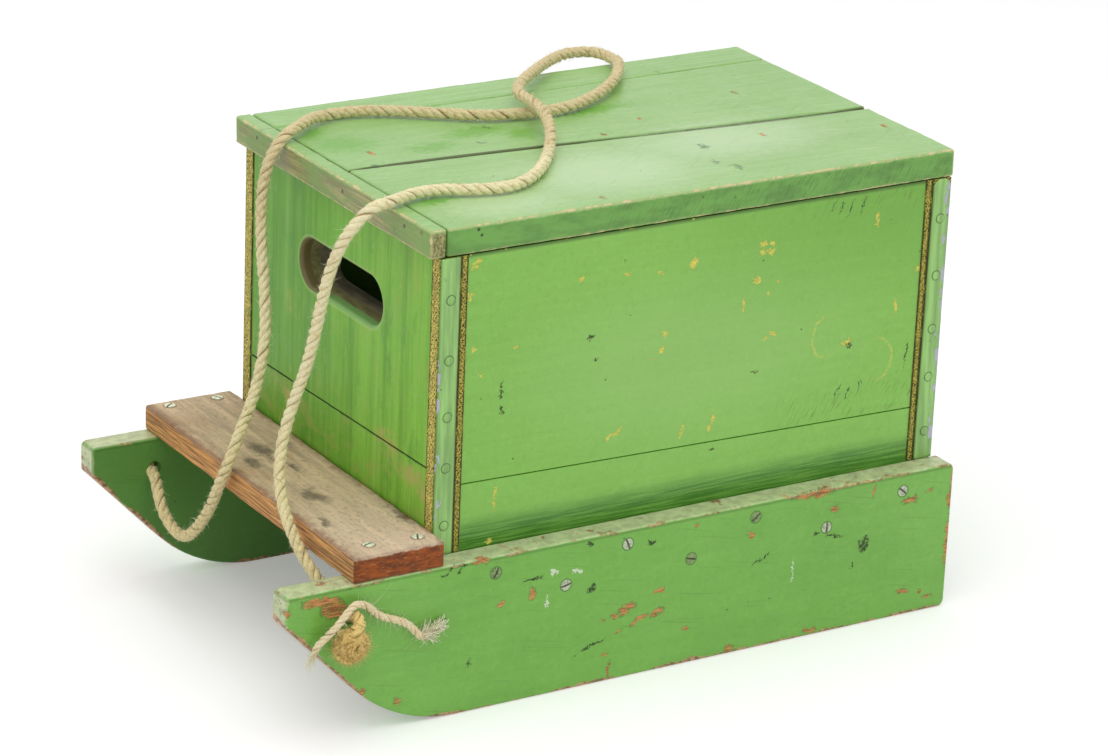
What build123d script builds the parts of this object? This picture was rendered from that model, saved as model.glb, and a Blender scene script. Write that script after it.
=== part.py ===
from build123d import *
from math import radians, tan
import os

os.makedirs("parts", exist_ok=True)

# Wooden ice fishing sled: a board box with a hinged seat lid between two runner
# boards, a footboard in front and a tow rope. Millimetres, +X is the tow end,
# +Y the left side, +Z up. The origin is on the floor, under the middle of the runners.

# Runners
runner_length = 640.0
runner_height = 131.6
runner_thickness = 22.6
nose_height = 25.6
nose_slope_run = 102.0
sole_bend_radius = 130.0
nose_top_radius = 5.0
nose_low_radius = 4.0
runner_rear_radius = 6.0
runner_edge = 2.0

# Box
box_length = 487.3
box_width = 321.2
box_rear_to_runner_rear = 10.3
box_top = 381.0
box_bottom = 78.0
side_thickness = 11.7
end_thickness = 19.0
floor_thickness = 16.0
board_joint = 0.8
board_edge = 0.8
side_joint_front = 189.0
side_joint_rear = 179.3
end_joint_right = 197.3
end_joint_left = 202.4

# Hand slots and the rough boards behind them
slot_length = 136.0
slot_height = 41.0
slot_drop = 70.0
slot_centre_y = 2.0
slot_edge = 4.0
backer_thickness = 16.0
backer_height = 96.0

# Corner trim: a folded woven tape under a metal strip
tape_thickness = 0.8
tape_side_width = 24.5
strip_width = 18.5
strip_thickness = 1.4
trim_clearance = 0.5
rivet_diameter = 8.0
rivet_height = 1.2
rivet_inset = 9.7
rivet_taper = 35.0
strip_edge = 0.63
rivet_shares = (0.0996, 0.2969, 0.4697, 0.6605, 0.8622)

# Footboard
footboard_depth = 81.2
footboard_thickness = 21.8
footboard_gap = 0.4
footboard_edge = 2.5

# Lid
lid_thickness = 23.5
lid_front_overhang = 9.9
lid_rear_overhang = 2.8
lid_left_overhang = 0.9
lid_right_overhang = 3.9
lid_gap = 0.7
lid_edge = 3.0
front_strip_depth = 14.2
lid_joint = 0.8
wide_joint_front_y = 1.2
wide_joint_rear_y = 34.0
narrow_joint_y = -121.0
cleat_width = 44.0
cleat_thickness = 18.0
cleat_wall_clearance = 9.0
cleat_inset = 70.0

# Hinges on the right side
hinge_width = 52.0
hinge_inset = 85.0
leaf_thickness = 1.6
leaf_height = 30.0
lid_leaf_height = 21.0
knuckle_radius = 3.2
knuckle_gap = 0.4
knuckle_clearance = 0.3
hinge_axis_inset = 0.5
pin_radius = 1.5
pin_clearance = 0.15
knuckle_share = 0.4

# Tow rope
rope_diameter = 9.5
rope_hole_diameter = 12.0
rope_hole_setback = 58.0
rope_hole_z = 104.4
knot_width = 38.0
knot_depth = 28.0
knot_drop = 11.0
knot_forward = 3.0
strand_diameter = 5.5
arc_share = 0.45

# Places worked out from the sizes
runner_front_x = runner_length / 2
runner_rear_x = -runner_length / 2
runner_inner_y = box_width / 2
runner_outer_y = runner_inner_y + runner_thickness
nose_low_z = runner_height - nose_height
box_rear_x = runner_rear_x + box_rear_to_runner_rear
box_front_x = box_rear_x + box_length
box_side_y = box_width / 2
inner_side_y = box_side_y - side_thickness
slot_centre_z = box_top - slot_drop
rope_hole_x = runner_front_x - rope_hole_setback
inner_front_x = box_front_x - end_thickness
inner_rear_x = box_rear_x + end_thickness
lid_bottom = box_top + lid_gap
lid_top = lid_bottom + lid_thickness
lid_front_x = box_front_x + lid_front_overhang
lid_rear_x = box_rear_x - lid_rear_overhang
lid_left_y = box_side_y + lid_left_overhang
lid_right_y = -box_side_y - lid_right_overhang
plank_front_x = lid_front_x - front_strip_depth - lid_joint
hinge_y = lid_right_y + hinge_axis_inset
hinge_z = lid_bottom - knuckle_radius - knuckle_clearance
sides = (("left", 1), ("right", -1))
ends = (("front", 1), ("rear", -1))


def write(piece, name):
    piece.label = name
    export_step(piece, f"parts/{name}.step")


def xz_plane(y):
    """Plane at the given Y whose sketch axes are X and Z and whose normal is +Y."""
    return Plane(origin=(0, y, 0), x_dir=(-1, 0, 0), z_dir=(0, 1, 0))


def board(name, corners, plane, thickness, edge):
    """A flat board: its outline in the plane, thickened along the plane's normal."""
    with BuildPart() as blank:
        with BuildSketch(plane):
            with BuildLine():
                Polyline(*corners, close=True)
            make_face()
        extrude(amount=thickness)
        fillet(blank.edges(), radius=edge)
    write(blank.part, name)


# Runners: the nose slopes down to the sole through one long bend
slope_foot_x = runner_front_x - nose_slope_run
runner_outline = (
    (-runner_rear_x, 0),
    (-slope_foot_x, 0),
    (-runner_front_x, nose_low_z),
    (-runner_front_x, runner_height),
    (-runner_rear_x, runner_height),
)
runner_radii = (
    runner_rear_radius,
    sole_bend_radius,
    nose_low_radius,
    nose_top_radius,
    runner_rear_radius,
)
for side, way in sides:
    inner_face = runner_inner_y if way > 0 else -runner_outer_y
    with BuildPart() as runner:
        with BuildSketch(xz_plane(inner_face)):
            with BuildLine():
                FilletPolyline(*runner_outline, radius=runner_radii, close=True)
            make_face()
        extrude(amount=runner_thickness)
        faces = runner.faces().filter_by(Axis.Y)
        fillet(faces.edges(), radius=runner_edge)
        with Locations(Plane(origin=(rope_hole_x, way * runner_outer_y, rope_hole_z), z_dir=(0, way, 0))):
            Hole(radius=rope_hole_diameter / 2, depth=runner_thickness)
    write(runner.part, f"runner_{side}")

# Footboard across both runners, against the front of the box
footboard_rear_x = box_front_x + tape_thickness + footboard_gap
board(
    "footboard",
    (
        (footboard_rear_x, -runner_outer_y),
        (footboard_rear_x + footboard_depth, -runner_outer_y),
        (footboard_rear_x + footboard_depth, runner_outer_y),
        (footboard_rear_x, runner_outer_y),
    ),
    Plane.XY.offset(runner_height),
    footboard_thickness,
    footboard_edge,
)

# Side boards: two boards a side, meeting on a line that drops towards the rear
for side, way in sides:
    face_y = inner_side_y if way > 0 else -box_side_y
    half = board_joint / 2
    board(
        f"side_lower_{side}",
        (
            (-box_rear_x, box_bottom),
            (-box_front_x, box_bottom),
            (-box_front_x, side_joint_front - half),
            (-box_rear_x, side_joint_rear - half),
        ),
        xz_plane(face_y),
        side_thickness,
        board_edge,
    )
    board(
        f"side_upper_{side}",
        (
            (-box_rear_x, side_joint_rear + half),
            (-box_front_x, side_joint_front + half),
            (-box_front_x, box_top),
            (-box_rear_x, box_top),
        ),
        xz_plane(face_y),
        side_thickness,
        board_edge,
    )

# End boards: the upper one has the hand slot, with a rough backing board behind it
for end, way in ends:
    outer_x = box_front_x if way > 0 else box_rear_x
    outward = Plane(origin=(outer_x, 0, 0), x_dir=(0, 1, 0), z_dir=(1, 0, 0))
    inward = -way
    half = board_joint / 2
    with BuildPart() as lower:
        with BuildSketch(outward):
            with BuildLine():
                Polyline(
                    (-inner_side_y, box_bottom),
                    (inner_side_y, box_bottom),
                    (inner_side_y, end_joint_left - half),
                    (-inner_side_y, end_joint_right - half),
                    close=True,
                )
            make_face()
        extrude(amount=inward * end_thickness)
        fillet(lower.edges(), radius=board_edge)
    write(lower.part, f"{end}_lower")

    with BuildPart() as upper:
        with BuildSketch(outward):
            with BuildLine():
                Polyline(
                    (-inner_side_y, end_joint_right + half),
                    (inner_side_y, end_joint_left + half),
                    (inner_side_y, box_top),
                    (-inner_side_y, box_top),
                    close=True,
                )
            make_face()
        extrude(amount=inward * end_thickness)
        fillet(upper.edges(), radius=board_edge)
        with BuildSketch(outward):
            with Locations((slot_centre_y, slot_centre_z)):
                SlotOverall(slot_length, slot_height)
        extrude(amount=inward * end_thickness, mode=Mode.SUBTRACT)
        slot_rim = upper.faces().sort_by(Axis.X)[-1 if way > 0 else 0].inner_wires()[0].edges()
        fillet(slot_rim, radius=slot_edge)
    write(upper.part, f"{end}_upper")

    backer_x = outer_x + inward * end_thickness
    with BuildPart() as backer:
        with BuildSketch(Plane(origin=(backer_x, 0, 0), x_dir=(0, 1, 0), z_dir=(1, 0, 0))):
            with Locations((0, slot_centre_z)):
                Rectangle(2 * inner_side_y, backer_height)
            with Locations((slot_centre_y, slot_centre_z)):
                SlotOverall(slot_length, slot_height, mode=Mode.SUBTRACT)
        extrude(amount=inward * backer_thickness)
    write(backer.part, f"{end}_backer")

# Floor board between the walls
board(
    "floor_board",
    (
        (inner_rear_x, -inner_side_y),
        (inner_front_x, -inner_side_y),
        (inner_front_x, inner_side_y),
        (inner_rear_x, inner_side_y),
    ),
    Plane.XY.offset(box_bottom),
    floor_thickness,
    board_edge,
)

# Corner trim above the runners: a tape folded round each corner, and a riveted strip
trim_bottom = runner_height + trim_clearance
trim_height = box_top - trim_bottom
for end, end_way in ends:
    corner_x = box_front_x if end_way > 0 else box_rear_x
    for side, side_way in sides:
        corner = Plane(
            origin=(corner_x, side_way * box_side_y, trim_bottom),
            x_dir=(-end_way, 0, 0),
            z_dir=(0, 0, 1),
        )
        inward_y = 1 if end_way == side_way else -1
        with BuildPart() as tape:
            with BuildSketch(corner):
                with BuildLine():
                    Polyline(
                        (-tape_thickness, inward_y * side_thickness),
                        (-tape_thickness, -inward_y * tape_thickness),
                        (tape_side_width, -inward_y * tape_thickness),
                        (tape_side_width, 0),
                        (0, 0),
                        (0, inward_y * side_thickness),
                        close=True,
                    )
                make_face()
            extrude(amount=trim_height)
        write(tape.part, f"tape_{end}_{side}")

        strip_y = side_way * (box_side_y + tape_thickness)
        strip_mid_x = corner_x - end_way * (strip_width / 2 - tape_thickness)
        outer_face = Plane(
            origin=(strip_mid_x, strip_y, trim_bottom),
            x_dir=(-side_way, 0, 0),
            z_dir=(0, side_way, 0),
        )
        rivet_x = side_way * (strip_mid_x - corner_x + end_way * rivet_inset)
        with BuildPart() as strip:
            with BuildSketch(outer_face):
                Rectangle(strip_width, trim_height, align=(Align.CENTER, Align.MIN))
            extrude(amount=strip_thickness)
            fillet(strip.edges().filter_by(Axis.Z), radius=strip_edge)
            with BuildSketch(outer_face.offset(strip_thickness)):
                with Locations(*[(rivet_x, share * trim_height) for share in rivet_shares]):
                    Circle(rivet_diameter / 2)
            extrude(amount=rivet_height, taper=rivet_taper)
        write(strip.part, f"strip_{end}_{side}")

# Lid: a strip along the front edge and three planks, the wide joint opening to the rear
board(
    "lid_front_strip",
    (
        (lid_front_x - front_strip_depth, lid_right_y),
        (lid_front_x, lid_right_y),
        (lid_front_x, lid_left_y),
        (lid_front_x - front_strip_depth, lid_left_y),
    ),
    Plane.XY.offset(lid_bottom),
    lid_thickness,
    lid_edge,
)
half = lid_joint / 2
lid_planks = (
    # name, right edge at front, at rear, left edge at front, at rear
    ("left", wide_joint_front_y + half, wide_joint_rear_y + half, lid_left_y, lid_left_y),
    ("middle", narrow_joint_y + half, narrow_joint_y + half, wide_joint_front_y - half, wide_joint_rear_y - half),
    ("right", lid_right_y, lid_right_y, narrow_joint_y - half, narrow_joint_y - half),
)
for place, right_front, right_rear, left_front, left_rear in lid_planks:
    board(
        f"lid_plank_{place}",
        (
            (lid_rear_x, right_rear),
            (plank_front_x, right_front),
            (plank_front_x, left_front),
            (lid_rear_x, left_rear),
        ),
        Plane.XY.offset(lid_bottom),
        lid_thickness,
        board_edge,
    )

# Cleats under the lid tie the planks together and drop inside the box
cleat_half_y = inner_side_y - cleat_wall_clearance
for end, way in ends:
    wall_x = inner_front_x if way > 0 else inner_rear_x
    near_x = wall_x - way * cleat_inset
    far_x = near_x - way * cleat_width
    board(
        f"lid_cleat_{end}",
        (
            (min(near_x, far_x), -cleat_half_y),
            (max(near_x, far_x), -cleat_half_y),
            (max(near_x, far_x), cleat_half_y),
            (min(near_x, far_x), cleat_half_y),
        ),
        Plane.XY.offset(lid_bottom - cleat_thickness),
        cleat_thickness,
        board_edge,
    )

# Hinges: the box leaf carries the middle knuckle, the lid leaf the two outer ones
middle_knuckle = hinge_width * knuckle_share
outer_knuckle = (hinge_width - middle_knuckle) / 2 - knuckle_gap
for end, way in ends:
    wall_x = box_front_x if way > 0 else box_rear_x
    hinge_x = wall_x - way * (hinge_inset + hinge_width / 2)
    across = Plane(origin=(hinge_x, hinge_y, hinge_z), x_dir=(0, 1, 0), z_dir=(1, 0, 0))
    box_leaf_y = -box_side_y - leaf_thickness - hinge_y
    lid_leaf_y = lid_right_y - leaf_thickness - hinge_y
    with BuildPart() as box_leaf:
        with BuildSketch(across.offset(-hinge_width / 2)):
            with Locations((box_leaf_y, 0)):
                Rectangle(leaf_thickness, leaf_height, align=(Align.MIN, Align.MAX))
        extrude(amount=hinge_width)
        with BuildSketch(across.offset(-middle_knuckle / 2)):
            Circle(knuckle_radius)
        extrude(amount=middle_knuckle)
        with BuildSketch(across.offset(-hinge_width / 2)):
            Circle(pin_radius + pin_clearance)
        extrude(amount=hinge_width, mode=Mode.SUBTRACT)
        for start in (-hinge_width / 2, middle_knuckle / 2):
            with BuildSketch(across.offset(start)):
                Circle(knuckle_radius + knuckle_gap)
            extrude(amount=outer_knuckle + knuckle_gap, mode=Mode.SUBTRACT)
    write(box_leaf.part, f"hinge_box_leaf_{end}")

    with BuildPart() as lid_leaf:
        for start in (-hinge_width / 2, middle_knuckle / 2 + knuckle_gap):
            with BuildSketch(across.offset(start)):
                with Locations((lid_leaf_y, 0)):
                    Rectangle(leaf_thickness, lid_leaf_height, align=(Align.MIN, Align.MIN))
                Circle(knuckle_radius)
            extrude(amount=outer_knuckle)
        with BuildSketch(across.offset(-hinge_width / 2)):
            with Locations((lid_leaf_y, knuckle_radius + knuckle_gap)):
                Rectangle(
                    leaf_thickness,
                    lid_leaf_height - knuckle_radius - knuckle_gap,
                    align=(Align.MIN, Align.MIN),
                )
        extrude(amount=hinge_width)
        with BuildSketch(across.offset(-hinge_width / 2)):
            Circle(pin_radius + pin_clearance)
        extrude(amount=hinge_width, mode=Mode.SUBTRACT)
    write(lid_leaf.part, f"hinge_lid_leaf_{end}")

    with BuildPart() as pin:
        with BuildSketch(across.offset(-hinge_width / 2)):
            Circle(pin_radius)
        extrude(amount=hinge_width)
    write(pin.part, f"hinge_pin_{end}")

# Tow rope: out of the right runner, up over the front edge of the lid, once round in
# a loop on the lid, down again and into the left runner. The lid carries the middle.
rope_hole = (rope_hole_x, 0, rope_hole_z)
lid_front_edge = (lid_front_x, 0, lid_top)


def laid(origin, steps):
    """Points given as distances from an origin on the sled."""
    return [Vector(*origin) + Vector(*step) for step in steps]


right_leg_low = laid(
    rope_hole,
    [
        (0, -runner_outer_y, 0),
        (0, -151, 0),
        (2, -137, -13.4),
        (5, -124, -28.4),
        (6, -106, -38.4),
        (7, -84, -35.4),
        (8, -62, -17.4),
        (10, -42, 8.6),
        (12, -29, 33.6),
    ],
)
right_leg_high = laid(
    lid_front_edge,
    [
        (84.5, -22, -242.2),
        (73.5, -24, -221.2),
        (57.5, -36, -206.2),
        (42.5, -48, -187.2),
        (30.5, -56, -159.2),
        (23.5, -63, -123.2),
        (20.5, -70, -87.2),
        (18.5, -77, -55.2),
        (17.5, -81, -29.2),
    ],
)
lid_route = laid(
    lid_front_edge,
    [
        (15.5, -82, -7.2),
        (4.5, -86, 10.8),
        (-15.5, -95, 18.8),
        (-40.5, -109, 14.8),
        (-64.5, -120, 7.8),
        (-90.5, -118, 5.8),
        (-116.5, -104, 5.8),
        (-146.5, -80, 5.8),
        (-180.5, -59, 5.8),
        (-214.5, -49, 5.8),
        (-252.5, -51, 5.8),
        (-294.5, -69, 6.8),
        (-334.5, -97, 7.8),
        (-364.5, -130, 9.8),
        (-374.5, -156, 11.8),
        (-365.5, -181, 13.8),
        (-340.5, -193, 14.8),
        (-312.5, -183, 14.8),
        (-277.5, -149, 15.8),
        (-229.5, -103, 17.8),
        (-212.5, -66, 18.8),
        (-215.5, -32, 18.8),
        (-201.5, 10, 12.8),
        (-170.5, 54, 5.8),
        (-137.5, 88, 5.8),
        (-105.5, 107, 5.8),
        (-74.5, 101, 5.8),
        (-47.5, 88, 6.8),
        (-22.5, 90, 10.8),
        (1.5, 98, 14.8),
        (23.5, 101, 11.8),
        (39.5, 98, -0.2),
    ],
)
left_leg_high = laid(
    lid_front_edge,
    [
        (46.5, 92, -20.2),
        (48.5, 84, -45.2),
        (48.5, 77, -72.2),
        (48.5, 70, -102.2),
        (50.5, 61, -137.2),
        (57.5, 54, -171.2),
        (67.5, 53, -201.2),
    ],
)
left_leg_low = laid(
    rope_hole,
    [
        (4, 60, 74.6),
        (11, 76, 55.6),
        (11, 97, 40.6),
        (7, 117, 23.6),
        (3, 137, 8.6),
        (0, 152, 0),
        (0, runner_outer_y, 0),
    ],
)
right_route = right_leg_low + right_leg_high
left_route = left_leg_high + left_leg_low


def corner_radii(route):
    """The largest arc that each corner's two runs allow."""
    radii = []
    for before, here, after in zip(route, route[1:], route[2:]):
        run_in = here - before
        run_out = after - here
        turn = radians(run_in.get_angle(run_out))
        radii.append(arc_share * min(run_in.length, run_out.length) / tan(turn / 2))
    return radii


def tube(name, path_points, radii, diameter):
    with BuildPart() as cord:
        with BuildLine() as path:
            FilletPolyline(*path_points, radius=radii)
        with BuildSketch(Plane(origin=path.line @ 0, z_dir=path.line % 0)):
            Circle(diameter / 2)
        sweep(path=path.line)
    length = sum(edge.length for edge in path.edges())
    section = Circle(diameter / 2, mode=Mode.PRIVATE).area
    print(f"{name}: {length:.0f} long, volume / (section x length) {cord.part.volume / section / length:.4f}")
    write(cord.part, name)


rope_radii = corner_radii(right_route + lid_route + left_route)
print("rope radii", [round(radius) for radius in rope_radii])
right_end = (right_route[-1] + lid_route[0]) / 2
left_start = (lid_route[-1] + left_route[0]) / 2
lid_first = len(right_route) - 1
left_first = lid_first + len(lid_route)
tube("rope_right", [*right_route, right_end], rope_radii[:lid_first], rope_diameter)
tube("rope_lid", [right_end, *lid_route, left_start], rope_radii[lid_first:left_first], rope_diameter)
tube("rope_left", [left_start, *left_route], rope_radii[left_first:], rope_diameter)

# Knots: balls of rope with a flat side against the outer faces of the runners
for side, way in sides:
    knot_y = runner_outer_y + knot_depth - knot_width / 2
    outer_face = Plane(origin=(0, way * runner_outer_y, 0), z_dir=(0, way, 0))
    with BuildPart() as knot:
        with Locations((rope_hole_x + knot_forward, way * knot_y, rope_hole_z - knot_drop)):
            Sphere(knot_width / 2)
        split(bisect_by=outer_face, keep=Keep.TOP)
    write(knot.part, f"knot_{side}")

# A thin loose strand laid over the left knot
strand_route = laid(
    (rope_hole_x, runner_outer_y, rope_hole_z),
    [
        (37.1, 5.3, -24.6),
        (33.7, 6.8, -15.4),
        (28.2, 9.8, -8.2),
        (21.7, 14.6, 0.6),
        (14, 13.6, 8.2),
        (5.3, 8.8, 13),
        (-4, 6.8, 14),
        (-12.7, 4.8, 7.9),
        (-21.3, 3.1, -0.2),
        (-31.9, 3.1, -5.9),
        (-45.6, 3.1, -11.5),
        (-54.2, 3.1, -18.9),
        (-59.7, 3.1, -26.5),
        (-67.4, 3.1, -28.1),
        (-74.4, 3.8, -22),
    ],
)
tube("loose_strand", strand_route, corner_radii(strand_route), strand_diameter)
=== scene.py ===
import math
from functools import partial

import bmesh
import bpy
import numpy as np
from bpy.props import FloatProperty, FloatVectorProperty, IntProperty, PointerProperty
from mathutils import Matrix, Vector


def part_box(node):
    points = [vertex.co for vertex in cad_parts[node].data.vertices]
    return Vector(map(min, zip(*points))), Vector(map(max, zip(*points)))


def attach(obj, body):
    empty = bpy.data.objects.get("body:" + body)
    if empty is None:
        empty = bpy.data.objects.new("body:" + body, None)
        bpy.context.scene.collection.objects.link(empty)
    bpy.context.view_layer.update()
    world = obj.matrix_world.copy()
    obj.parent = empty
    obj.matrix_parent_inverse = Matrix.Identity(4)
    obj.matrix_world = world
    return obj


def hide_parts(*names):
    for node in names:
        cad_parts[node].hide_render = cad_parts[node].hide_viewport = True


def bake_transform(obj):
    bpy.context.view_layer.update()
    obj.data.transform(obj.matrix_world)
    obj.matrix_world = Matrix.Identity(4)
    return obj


bl_info = {
    "name": "Ice Fishing Sled",
    "version": (1, 0, 0),
    "blender": (4, 5, 0),
    "location": "3D View > Sidebar > Ice Sled",
    "description": "Dresses the packed model of a painted wooden ice fishing sled",
    "category": "Object",
}

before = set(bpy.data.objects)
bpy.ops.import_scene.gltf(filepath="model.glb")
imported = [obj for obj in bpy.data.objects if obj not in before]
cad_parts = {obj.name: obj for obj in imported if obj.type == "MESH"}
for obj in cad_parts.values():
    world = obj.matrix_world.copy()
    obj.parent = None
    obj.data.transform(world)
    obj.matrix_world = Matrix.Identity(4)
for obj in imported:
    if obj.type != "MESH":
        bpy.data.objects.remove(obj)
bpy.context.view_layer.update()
SIDES = (("left", 1.0), ("right", -1.0))
ENDS = (("front", 1.0), ("rear", -1.0))


def paint_property(name, description, default):
    return FloatVectorProperty(
        name=name, description=description, default=default, size=3, min=0.0, max=1.0, subtype="COLOR_GAMMA"
    )


def length_property(name, description, default):
    return FloatProperty(
        name=name, description=description, default=default, min=0.0, subtype="DISTANCE", unit="LENGTH"
    )


class SledPaint(bpy.types.PropertyGroup):
    # Lid top, lid rim, sides and ends are copies of one green paint, each set to how light falls on its face;
    # the top's paler green is partly painted sheen.
    lid_top: paint_property("Lid top", "Pale green paint on top of the lid", (0.60, 0.76, 0.47))
    # The rim's darker green is partly painted shade, besides its grime.
    lid_rim: paint_property("Lid rim", "Grimy green paint round the edge of the lid", (0.46, 0.69, 0.31))
    lid_front: paint_property(
        "Lid front", "Grey wood where the lid's front has lost its paint", (0.64, 0.63, 0.38)
    )
    lid_wear: paint_property("Lid wear", "Cream that shows along the lid's worn edges", (0.86, 0.81, 0.60))
    side: paint_property("Sides", "Green paint on the side boards", (0.55, 0.775, 0.34))
    end: paint_property("Ends", "Streaky green paint on the end boards", (0.53, 0.77, 0.23))
    end_streak: paint_property(
        "End streaks", "Deeper green that runs down the end boards", (0.30, 0.55, 0.06)
    )
    # Painted reflection: a deep green that darkens the lower side boards just above the runners.
    side_foot_reflection: paint_property(
        "Side foot", "Deep green of the lower side boards above the runners", (0.18, 0.45, 0.01)
    )
    runner: paint_property("Runners", "Green paint on the runners", (0.50, 0.73, 0.32))
    ledge: paint_property(
        "Runner tops", "Grey-green of the worn top and nose of the runners", (0.77, 0.81, 0.62)
    )
    old_yellow: paint_property(
        "Old yellow", "Older yellow paint that shows through on the box", (0.88, 0.84, 0.38)
    )
    bare_wood: paint_property("Bare wood", "Wood that shows where paint has chipped off", (0.85, 0.57, 0.35))
    dirt: paint_property("Dirt", "Dirt in joints, holes and scratches", (0.13, 0.15, 0.05))
    lid_edge_radius: length_property("Lid edge", "How far the lid's edges are rounded by wear", 0.0024)


class SledWood(bpy.types.PropertyGroup):
    top: paint_property("Weathered top", "Grey-brown top of the footboard", (0.86, 0.75, 0.61))
    edge: paint_property("Front edge", "Fresh orange-brown edge of the footboard", (0.82, 0.60, 0.35))
    end: paint_property("End grain", "Dark reddish end of the footboard", (0.57, 0.28, 0.06))
    rough: paint_property("Rough boards", "Unpainted boards inside the box", (0.55, 0.53, 0.41))
    edge_radius: length_property("Edge", "How far the footboard's edges are rounded by wear", 0.0022)


class SledTrim(bpy.types.PropertyGroup):
    strip: paint_property("Strips", "Green paint on the corner strips", (0.60, 0.79, 0.45))
    metal: paint_property(
        "Bare metal", "Grey metal where the strips have lost their paint", (0.70, 0.71, 0.74)
    )
    tape: paint_property("Tape", "Yellow of the woven corner tape", (0.93, 0.87, 0.45))
    tape_gap: paint_property("Tape gaps", "Brown between the tape's threads", (0.33, 0.29, 0.07))
    screw: paint_property("Screws", "Dull steel of the screws", (0.78, 0.82, 0.70))
    rivet_radius: length_property("Rivet radius", "Radius of a rivet head", 0.0038)
    screw_radius: length_property("Screw radius", "Radius of a screw head", 0.0048)


class SledRope(bpy.types.PropertyGroup):
    colour: paint_property("Rope", "Pale beige of the rope", (1.0, 0.97, 0.80))
    shade: paint_property("Rope grooves", "Brown between the strands", (0.90, 0.78, 0.54))
    stain: paint_property("Rope stain", "Green-brown of the rope's lower ends", (0.97, 0.90, 0.67))
    knot: paint_property("Knot", "Yellow-brown of the knots", (1.0, 0.88, 0.56))
    diameter: length_property("Diameter", "Thickness of the tow rope", 0.0095)
    lay: length_property("Lay", "Length in which a strand goes once round the rope", 0.025)
    hairs: IntProperty(name="Hairs", description="Loose fibres that stand off the rope", default=9500, min=0)


class SledStage(bpy.types.PropertyGroup):
    floor: paint_property("Floor", "Pale floor", (0.97, 0.97, 0.97))
    world: FloatProperty(
        name="World", description="Strength of the light from all round", default=0.64, min=0.0
    )
    lamp: FloatProperty(
        name="Lamp", description="Power of the soft lamp overhead", default=38.0, min=0.0, unit="POWER"
    )


SETTINGS = {
    "sled_paint": SledPaint,
    "sled_wood": SledWood,
    "sled_trim": SledTrim,
    "sled_rope": SledRope,
    "sled_stage": SledStage,
}


# Meshes from numpy grids


def grid_quads(rows, columns, rows_closed=False, columns_closed=False):
    """Quads of a grid numbered row by row: each point with the next along, across and both."""
    row, column = np.meshgrid(
        np.arange(rows if rows_closed else rows - 1),
        np.arange(columns if columns_closed else columns - 1),
        indexing="ij",
    )
    row, column = row.ravel(), column.ravel()
    below, beside = (row + 1) % rows, (column + 1) % columns
    quads = (
        row * columns + column, row * columns + beside, below * columns + beside, below * columns + column
    )
    corners = ((row, column), (row, column + 1), (row + 1, column + 1), (row + 1, column))
    return np.stack(quads, 1), np.stack([np.stack(corner, 1) for corner in corners], 1)


def mesh_piece(name, points, faces, uv=None, smooth=True):
    """An object with its place in its mesh; uv holds one pair for each corner of each face."""
    mesh = bpy.data.meshes.new(name)
    mesh.from_pydata(np.asarray(points, float).tolist(), [], [list(map(int, face)) for face in faces])
    mesh.polygons.foreach_set("use_smooth", np.full(len(mesh.polygons), smooth))
    if uv is not None:
        layer = mesh.uv_layers.new(name="UVMap")
        layer.data.foreach_set("uv", np.asarray(uv, np.float32).ravel())
    mesh.update()
    piece = bpy.data.objects.new(name, mesh)
    bpy.context.scene.collection.objects.link(piece)
    return piece


def join_parts(parts):
    """Points and faces of several (points, faces) parts, with the faces renumbered."""
    shift = np.cumsum([0] + [len(points) for points, _ in parts[:-1]])
    points = np.concatenate([points for points, _ in parts])
    faces = []
    for (_, part_faces), start in zip(parts, shift):
        faces += [[int(corner + start) for corner in face] for face in part_faces]
    return points, faces


def outward(piece, distance=1e-7):
    """Merges doubles and turns every face outwards."""
    shape = bmesh.new()
    shape.from_mesh(piece.data)
    bmesh.ops.remove_doubles(shape, verts=shape.verts, dist=distance)
    bmesh.ops.recalc_face_normals(shape, faces=shape.faces)
    shape.to_mesh(piece.data)
    shape.free()
    return piece


def unevenness(points, scale, seed):
    """Smooth noise from -1 to 1: random values on a lattice, blended by smoothstep in the cells."""
    cells = 32
    lattice = np.random.default_rng(seed).uniform(-1, 1, (cells, cells, cells))
    place = np.asarray(points) * scale
    cell = np.floor(place).astype(int)
    part = place - cell
    part = part * part * (3 - 2 * part)
    total = 0.0
    for corner in np.ndindex(2, 2, 2):
        share = np.prod(np.abs(1 - np.array(corner) - part), axis=-1)
        x, y, z = np.moveaxis((cell + corner) % cells, -1, 0)
        total = total + share * lattice[x, y, z]
    return total


def board_lines(size, radius, step):
    """Grid lines over a length: close together within the rounded edge, even between."""
    near = radius * np.array([0, 0.25, 0.55, 1.0, 1.6])
    middle = np.linspace(near[-1], size - near[-1], max(3, int(round((size - 2 * near[-1]) / step)) + 1))
    return np.concatenate([near[:-1], middle, size - near[:-1][::-1]])


def worn_board(name, low, high, radius, wear, seed, step=0.006, shape=None):
    """A board whose edges are rounded unevenly.

    Each face is a grid on the box. A point is drawn towards the box shrunk by a local
    radius, and set back out to that radius along the same line. The radius is the board's
    own plus noise, and grows where a chip is. shape() may then shear the finished points.
    """
    low, high = np.array(low), np.array(high)
    size = high - low
    lines = [board_lines(length, radius, step) for length in size]
    parts = []
    for axis in range(3):
        first, second = [k for k in range(3) if k != axis]
        a, b = np.meshgrid(lines[first], lines[second], indexing="ij")
        for end in (0.0, size[axis]):
            points = np.zeros((a.size, 3))
            points[:, first], points[:, second], points[:, axis] = a.ravel(), b.ravel(), end
            parts.append((points, grid_quads(*a.shape)[0]))
    points, faces = join_parts(parts)
    place = points + low
    local = radius * (1 + 0.35 * unevenness(place, 90, seed))
    chips = np.clip(unevenness(place, 140, seed + 1) + 0.6 * unevenness(place, 420, seed + 2) - 0.45, 0, 1)
    local = np.minimum(local + wear * chips, size.min() * 0.35)[:, None]
    core = np.clip(points, local, size - local)
    offset = points - core
    reach = np.linalg.norm(offset, axis=1, keepdims=True)
    points = core + offset / np.maximum(reach, 1e-9) * local + low
    if shape is not None:
        points = shape(points)
    return outward(mesh_piece(name, points, faces), 2e-6)


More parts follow.
